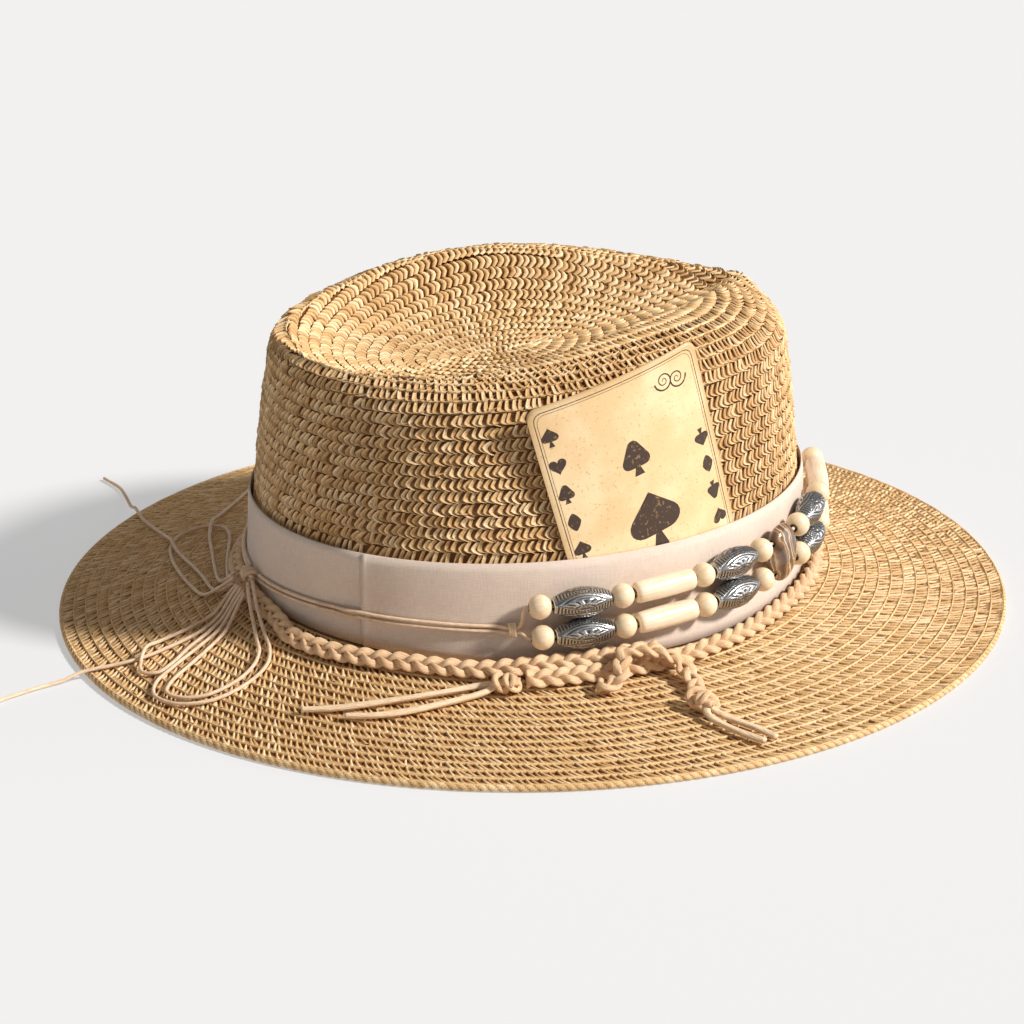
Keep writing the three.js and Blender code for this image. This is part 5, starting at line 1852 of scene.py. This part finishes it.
@dataclass
class TiedString:
    """The string that carries the beads round the hat, and its bow at the back."""

    form: HatForm
    beads: BeadRows
    ribbon: RibbonBand
    string: bpy.types.Material
    diameter: float = 1.3
    pair_gap: float = 1.7
    wrap_gap: float = 4.4
    wrap_length: float = 3.2
    wrap_diameter: float = 5.2
    wrap_turns: int = 3
    wrap_radius: float = 0.52
    wrap_heights: tuple[float, float] = (26.4, 33.0)
    knot_angle: float = 172.6
    knot_height: float = 23.8
    knot_size: tuple[float, float, float] = (6.0, 9.2, 5.4)
    slack: float = 0.5
    step: float = 0.9

    def build(self) -> list[bpy.types.Object]:
        """Builds the two strands, the whippings, the knot, the loops and the ends.

        Returns:
            The pieces.
        """
        made = [self._strand("strand_upper", 1.0), self._strand("strand_lower", -1.0)]
        made += [self._whipping("strand_wrap_back", -1.0, 0), self._whipping("strand_wrap_front", 1.0, 1)]
        made.append(self._knot())
        made += [self._loose(name, route) for name, route in STRING_ROUTES.items()]
        return made

    def _by(self, angle: float, height: float, row: float) -> np.ndarray:
        """A point of a strand that lies on the ribbon.

        Args:
            angle: The direction round the hat, in degrees.
            height: The height of the two strands' middle.
            row: 1 for the upper row, -1 for the lower one, 0 between them.

        Returns:
            The point.
        """
        layer = max(float(self.ribbon.thickness_at(np.radians(angle + ahead))) for ahead in (0, 3, 6))
        out = self.beads.on_ribbon - self.ribbon.thickness + layer + self.diameter / 2 + self.slack * 0.2
        return self.form.wall_at(np.radians(angle), np.float64(height + row * self.pair_gap / 2), out)

    def _wrap_angle(self, side: float) -> float:
        """The middle of a whipping."""
        end = self.beads.places(-1.0, side)[-1][2]
        return self.beads.step(end, -1.0, self.wrap_gap + self.wrap_length / 2, side)

    def _wrap_point(self, side: float, which: int, end: float, row: float) -> np.ndarray:
        """A point on a strand inside a whipping, or just outside it.

        Args:
            side: 1 towards the hat's front, -1 towards its back.
            which: The whipping's place in wrap_heights.
            end: 0 in its middle, 1 at its outer end, -1 at its inner end, more beyond them.
            row: 1 for the upper row, -1 for the lower one, 0 between them.

        Returns:
            The point.
        """
        middle = self._wrap_angle(side)
        way = side * (1 if end >= 0 else -1)
        angle = self.beads.step(middle, -1.0, self.wrap_length / 2 * abs(end), way) if end else middle
        out = self.beads.on_ribbon + self.wrap_diameter / 2 + self.slack / 2
        height = self.wrap_heights[which] + row * self.pair_gap / 2
        return self.form.wall_at(np.radians(angle), np.float64(height), out)

    def _run(self, stops: list[tuple[float, float]], row: float) -> np.ndarray:
        """A finely stepped stretch on the ribbon.

        Args:
            stops: The angles in degrees and the heights that it goes through.
            row: 1 for the upper row, -1 for the lower one, 0 between them.

        Returns:
            Its points.
        """
        stops_array = np.array(stops)
        order = np.argsort(stops_array[:, 0])
        angles = np.arange(stops_array[:, 0].min(), stops_array[:, 0].max(), 2.0)
        heights = np.interp(angles, stops_array[order, 0], stops_array[order, 1])
        points = np.stack([self._by(a, h, row) for a, h in zip(angles, heights)])
        return points if stops[0][0] < stops[-1][0] else points[::-1]

    def _strand(self, name: str, row: float) -> bpy.types.Object:
        """One strand, from the knot through its beads and round to the knot again.

        Args:
            name: The CAD node that it stands for.
            row: 1 for the upper row, -1 for the lower one, 0 between them.

        Returns:
            The piece.
        """
        reach = math.degrees((self.knot_size[1] / 2 - 1.0) / (self.form.foot_width + self.beads.on_ribbon))
        back = self._run([(self.knot_angle - 360 + reach, self.knot_height), *STRING_BACK_RUN[::-1]], row)
        far = self._run([*STRING_FAR_RUN, (self.knot_angle - reach, self.knot_height)], row)
        points = [back]
        points.append(np.stack([self._wrap_point(-1.0, 0, e, row) for e in (1.4, -1.4)]))
        lead = self.beads.places(row, -1.0)
        points.append(self.beads.row_point(self.beads.step(lead[-1][2], row, 1.0, -1.0), row)[None])
        for _, start, end in lead[::-1]:
            points.append(np.stack([self.beads.row_point(end, row), self.beads.row_point(start, row)]))
        ahead = self.beads.places(row, 1.0)
        for _, start, end in ahead:
            points.append(np.stack([self.beads.row_point(start, row), self.beads.row_point(end, row)]))
        points.append(self.beads.row_point(self.beads.step(ahead[-1][2], row, 1.0, 1.0), row)[None])
        points.append(np.stack([self._wrap_point(1.0, 1, e, row) for e in (-1.4, 1.4)]))
        points.append(far)
        return self._tube(name, smooth_path(np.concatenate(points), self.step * 1.4))

    def _tube(self, name: str, line: np.ndarray) -> bpy.types.Object:
        """A round string along a line, in place of its CAD node.

        Args:
            name: The CAD node that it stands for.
            line: The string's middle.

        Returns:
            The piece.
        """
        book = MeshBook()
        sweep(book, line, *carried_frames(line), round_section(self.diameter / 2, 8))
        return book.build(name + "_cord", self.string, nodes=(name,))

    def _whipping(self, name: str, side: float, which: int) -> bpy.types.Object:
        """Turns of thin string round the two strands.

        Args:
            name: The CAD node that it stands for.
            side: 1 towards the hat's front, -1 towards its back.
            which: Its place in wrap_heights.

        Returns:
            The piece.
        """
        low, high = (self._wrap_point(side, which, e, 0.0) for e in (-1.0, 1.0))
        axis = unit(high - low)
        first = unit(np.cross(axis, UP))
        second = np.cross(axis, first)
        turn = np.linspace(0, self.wrap_turns * 2 * np.pi, self.wrap_turns * 26)
        share = np.linspace(0.12, 0.88, len(turn))
        line = (low + (high - low) * share[:, None] + first * 1.35 * np.cos(turn)[:, None]
                + second * 2.0 * np.sin(turn)[:, None])
        book = MeshBook()
        sweep(book, line, *carried_frames(line), round_section(self.wrap_radius, 8))
        return book.build(name + "_turns", self.string, nodes=(name,))

    def _knot(self) -> bpy.types.Object:
        """The bow's knot: two crossing turns over a tucked core.

        Returns:
            The piece.
        """
        depth, wide, tall = self.knot_size
        centre = self.form.wall_at(np.radians(self.knot_angle), np.float64(self.knot_height),
                                   self.beads.on_ribbon + depth / 2)
        out = heading(self.knot_angle)
        side = np.array([-out[1], out[0], 0])
        section = round_section(self.diameter / 2, 9)
        book = MeshBook()
        turn = np.linspace(0, 2 * np.pi, 46)
        for lean, shift, grow in ((0.5, 1.6, 1.0), (-0.35, -1.0, 0.96), (0.15, 0.2, 1.04)):
            ring = (centre + out * (depth / 2 - 0.75) * grow * np.cos(turn)[:, None]
                    + UP * (tall / 2 - 0.65) * grow * np.sin(turn)[:, None]
                    + side * (shift + lean * 2.4 * np.sin(turn))[:, None])
            sweep(book, ring, *carried_frames(ring), section)
        for shift, dip in ((-0.9, 0.5), (0.9, -0.5)):
            share = np.linspace(-1, 1, 16)[:, None]
            core = (centre + side * share * (wide / 2 - 0.6) + UP * (shift + dip * share)
                    + out * 0.7 * (1 - share ** 2))
            sweep(book, core, *carried_frames(core), section)
        return book.build("bow_knot_turns", self.string, nodes=("bow_knot",))

    def _loose(self, name: str, route: Route) -> bpy.types.Object:
        """A free end or a loop.

        Args:
            name: The CAD node that it stands for.
            route: Its course.

        Returns:
            The piece.
        """
        line = smooth_path(self.form.lay(route), self.step)
        made = self._tube(name, line)
        declare_cord(made, self.diameter)
        return made


@dataclass
class BraidedCord:
    """The plaited cord round the crown's foot, its hitch, knots and tails."""

    form: HatForm
    cord: bpy.types.Material
    pale: bpy.types.Material
    repeat: float = 17.7
    swing: float = 1.85
    lift: float = 0.85
    strand: float = 1.55
    flat: float = 0.60
    step: float = 0.85
    lean: float = 48.0
    end_lean: float = 12.0
    lies_at: float = 2.9
    off_ribbon: float = 3.5
    tail_radius: float = 1.3
    tail_step: float = 0.8

    def build(self) -> list[bpy.types.Object]:
        """Builds the braid, the hitch, both knots and the four tails.

        Returns:
            The pieces.
        """
        whole = np.vstack([self.form.lay(BRAID_FRONT_ROUTE), self._hidden(), self.form.lay(BRAID_BACK_ROUTE)])
        made = [self._plait("braid_cord", whole), self._plait("braid_end", self.form.lay(BRAID_END_ROUTE))]
        made += [self._bound_knot(name, *knot) for name, knot in BRAID_KNOTS.items()]
        made += [self._tail(name, route) for name, route in TAIL_ROUTES.items()]
        return made

    def _hidden(self) -> np.ndarray:
        """The stretch round the far side, close to the ribbon.

        Returns:
            The route's points.
        """
        angle = np.radians(np.linspace(-18, 176, 10))
        points = self.form.wall_at(angle, self.form.foot_at(angle) + self.lies_at, RIBBON_STAND_OFF + RIBBON_THICKNESS)
        points[:, 0] += self.off_ribbon * np.cos(angle)
        points[:, 1] += self.off_ribbon * np.sin(angle)
        return points

    def _plait(self, node: str, points: np.ndarray) -> bpy.types.Object:
        """Three flat strands plaited along a route.

        Args:
            node: The CAD node that it stands for.
            points: The route's points.

        Returns:
            The piece.
        """
        line = smooth_path(points, self.step)
        level, raised = level_frames(line)
        lean = math.radians(self.lean if node == "braid_cord" else self.end_lean)
        outward = (level * (line - np.array([self.form.centre_x, 0, 0]))).sum(axis=1) > 0
        side, up = rolled(level, raised, np.where(outward, -lean, lean))
        walked = walked_along(line)
        book = MeshBook()
        for k in range(3):
            phase = walked / self.repeat * 2 * np.pi + k * 2 * np.pi / 3
            strand = (line + side * (self.swing * np.sin(phase))[:, None]
                      + up * (self.lift * np.sin(2 * phase))[:, None])
            sweep(book, strand, *rolled(side, up, -0.35 * np.cos(phase)),
                  round_section(self.strand, 12, self.flat, 4, 0.10))
        return book.build(node + "_plait", self.cord, nodes=(node,))

    def _bound_knot(self, node: str, place: tuple[float, float, float], size: tuple[float, float, float],
                    turned: float) -> bpy.types.Object:
        """A knot of flat strands wound round the cord.

        Args:
            node: The CAD node that it stands for.
            place: Its place, as in a route.
            size: Its length, width and height.
            turned: Which way it points, in degrees.

        Returns:
            The piece.
        """
        centre = self.form.lay([place])[0]
        along = heading(turned)
        side = np.array([-along[1], along[0], 0])
        length, wide, tall = size
        book = MeshBook()
        turn = np.linspace(0, 2 * np.pi, 44)
        for shift, lean, grow in ((-0.20, 1.0, 0.92), (0.16, 0.9, 1.02), (0.02, -1.1, 0.94)):
            ring = (centre + along * (shift * length + lean * 2.2 * np.sin(turn + 0.6))[:, None]
                    + side * (wide / 2 - 1.2) * grow * np.cos(turn)[:, None]
                    + UP * (tall / 2 - 0.9) * grow * np.sin(turn)[:, None])
            sweep(book, ring, *carried_frames(ring), round_section(1.25, 10, 0.8, 3, 0.08))
        share = np.linspace(-1, 1, 14)[:, None]
        for offset in (-1.3, 0.0, 1.3):
            core = centre + along * share * length * 0.46 + side * offset * (1 - 0.35 * share ** 2) + UP * 0.3
            sweep(book, core, *carried_frames(core), round_section(1.2, 10, 0.9, 3, 0.08))
        return book.build(node + "_turns", self.cord, nodes=(node,))

    def _tail(self, name: str, route: Route) -> bpy.types.Object:
        """A loose end of strand, cut off square.

        Args:
            name: The CAD node that it stands for.
            route: Its course after the knot.

        Returns:
            The piece.
        """
        knot = name.rpartition("_")[0]
        line = smooth_path(self.form.lay([TAIL_STARTS[knot], *route]), self.tail_step)
        sway = 0.25 * np.sin(np.linspace(0, 9, len(line)) + len(name))
        size = np.interp(np.linspace(0, 1, len(line)), (0, 0.1, 0.85, 1), (0.85, 1, 1, 0.92))
        book = MeshBook()
        sweep(book, line, *rolled(*level_frames(line), sway), round_section(self.tail_radius, 16, 0.82, 5, 0.13), size)
        made = book.build(name + "_strand", self.pale, nodes=(name,))
        if knot == "tail_left":
            declare_cord(made, 2 * self.tail_radius)
        return made


@dataclass(frozen=True)
class Studio:
    """The pale surface, the soft lights and the camera at the photograph's angle."""

    camera_at: tuple[float, float, float] = (-576.95, -956.58, 472.13)
    aim: tuple[float, float, float] = (-9.91, 0.0, 31.84)
    lens: float = 120.404
    roll: float = 0.402
    world: float = 0.28
    sensor: float = 36.0
    clip: tuple[float, float] = (0.01, 50.0)
    floor_reach: float = 9e3

    def camera(self) -> None:
        """Makes the camera."""
        data = bpy.data.cameras.new("photo_camera")
        data.lens, data.sensor_width = self.lens, self.sensor
        data.clip_start, data.clip_end = self.clip
        made = bpy.data.objects.new("photo_camera", data)
        place, aim = Vector(self.camera_at) * MM, Vector(self.aim) * MM
        turn = (aim - place).to_track_quat("-Z", "Y").to_matrix().to_4x4()
        made.matrix_world = Matrix.Translation(place) @ turn @ Matrix.Rotation(math.radians(self.roll), 4, "Z")
        bpy.context.scene.collection.objects.link(made)
        bpy.context.scene.camera = made

    def build(self) -> None:
        """Makes the floor, the world and the lights."""
        floor = MeshBook()
        square = np.array([(-1, -1, 0), (1, -1, 0), (1, 1, 0), (-1, 1, 0)])
        floor.add(square * self.floor_reach, [(0, 1, 2, 3)])
        floor.build("floor", FloorFinish().build())
        world = bpy.data.worlds.new("studio")
        world.use_nodes = True
        colour, strength = world.node_tree.nodes["Background"].inputs[:2]
        colour.default_value, strength.default_value = (1, 0.995, 0.985, 1), self.world
        bpy.context.scene.world = world
        self._sun("key", (0.84, -0.86, 0.94), 8.0, 4.6, (1.0, 0.98, 0.95))
        self._sun("side", (1.0, -0.25, 0.2), 40.0, 0.75, (1.0, 0.98, 0.96))
        view = bpy.context.scene.view_settings
        view.view_transform, view.look = "Standard", "None"

    @staticmethod
    def _sun(name: str, way: tuple[float, float, float], spread: float, power: float, tone: Colour) -> None:
        """A soft, far studio light that shines from one way.

        Args:
            name: The light's name.
            way: Where it shines from.
            spread: How wide it looks, in degrees.
            power: Its strength.
            tone: Its colour.
        """
        data = bpy.data.lights.new(name, "SUN")
        data.angle, data.energy, data.color = math.radians(spread), power, tone
        made = bpy.data.objects.new(name, data)
        made.location = way
        made.rotation_euler = Vector(way).to_track_quat("Z", "Y").to_euler()
        bpy.context.scene.collection.objects.link(made)


def main() -> None:
    """Builds the hat over its frame, piece by piece."""
    logging.basicConfig(level=logging.INFO, format="%(message)s")
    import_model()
    Studio().camera()
    form = HatForm()
    string, linen, straw = STRING.build(), LinenFinish().build(), StrawFinish().build()
    ribbon = RibbonBand(form, linen)
    beads = BeadRows(form, WOOD.build(), BONE.build(), AntiqueSilver().build(), AgateFinish().build())
    pieces = [
        *TiedString(form, beads, ribbon, string).build(),
        *BraidedCord(form, CordFinish().build(), TAIL.build()).build(),
        *beads.build(),
        ribbon.build(),
        *PlayingCard(form, CardFinish().build(), InkFinish().build()).build(),
        *StrawHat(form, straw).build(),
    ]
    for piece in pieces:
        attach(piece, "root")
        log.info("%s: %d faces", piece.name, len(piece.data.polygons))
    Studio().build()


if __name__ == "__main__":
    main()
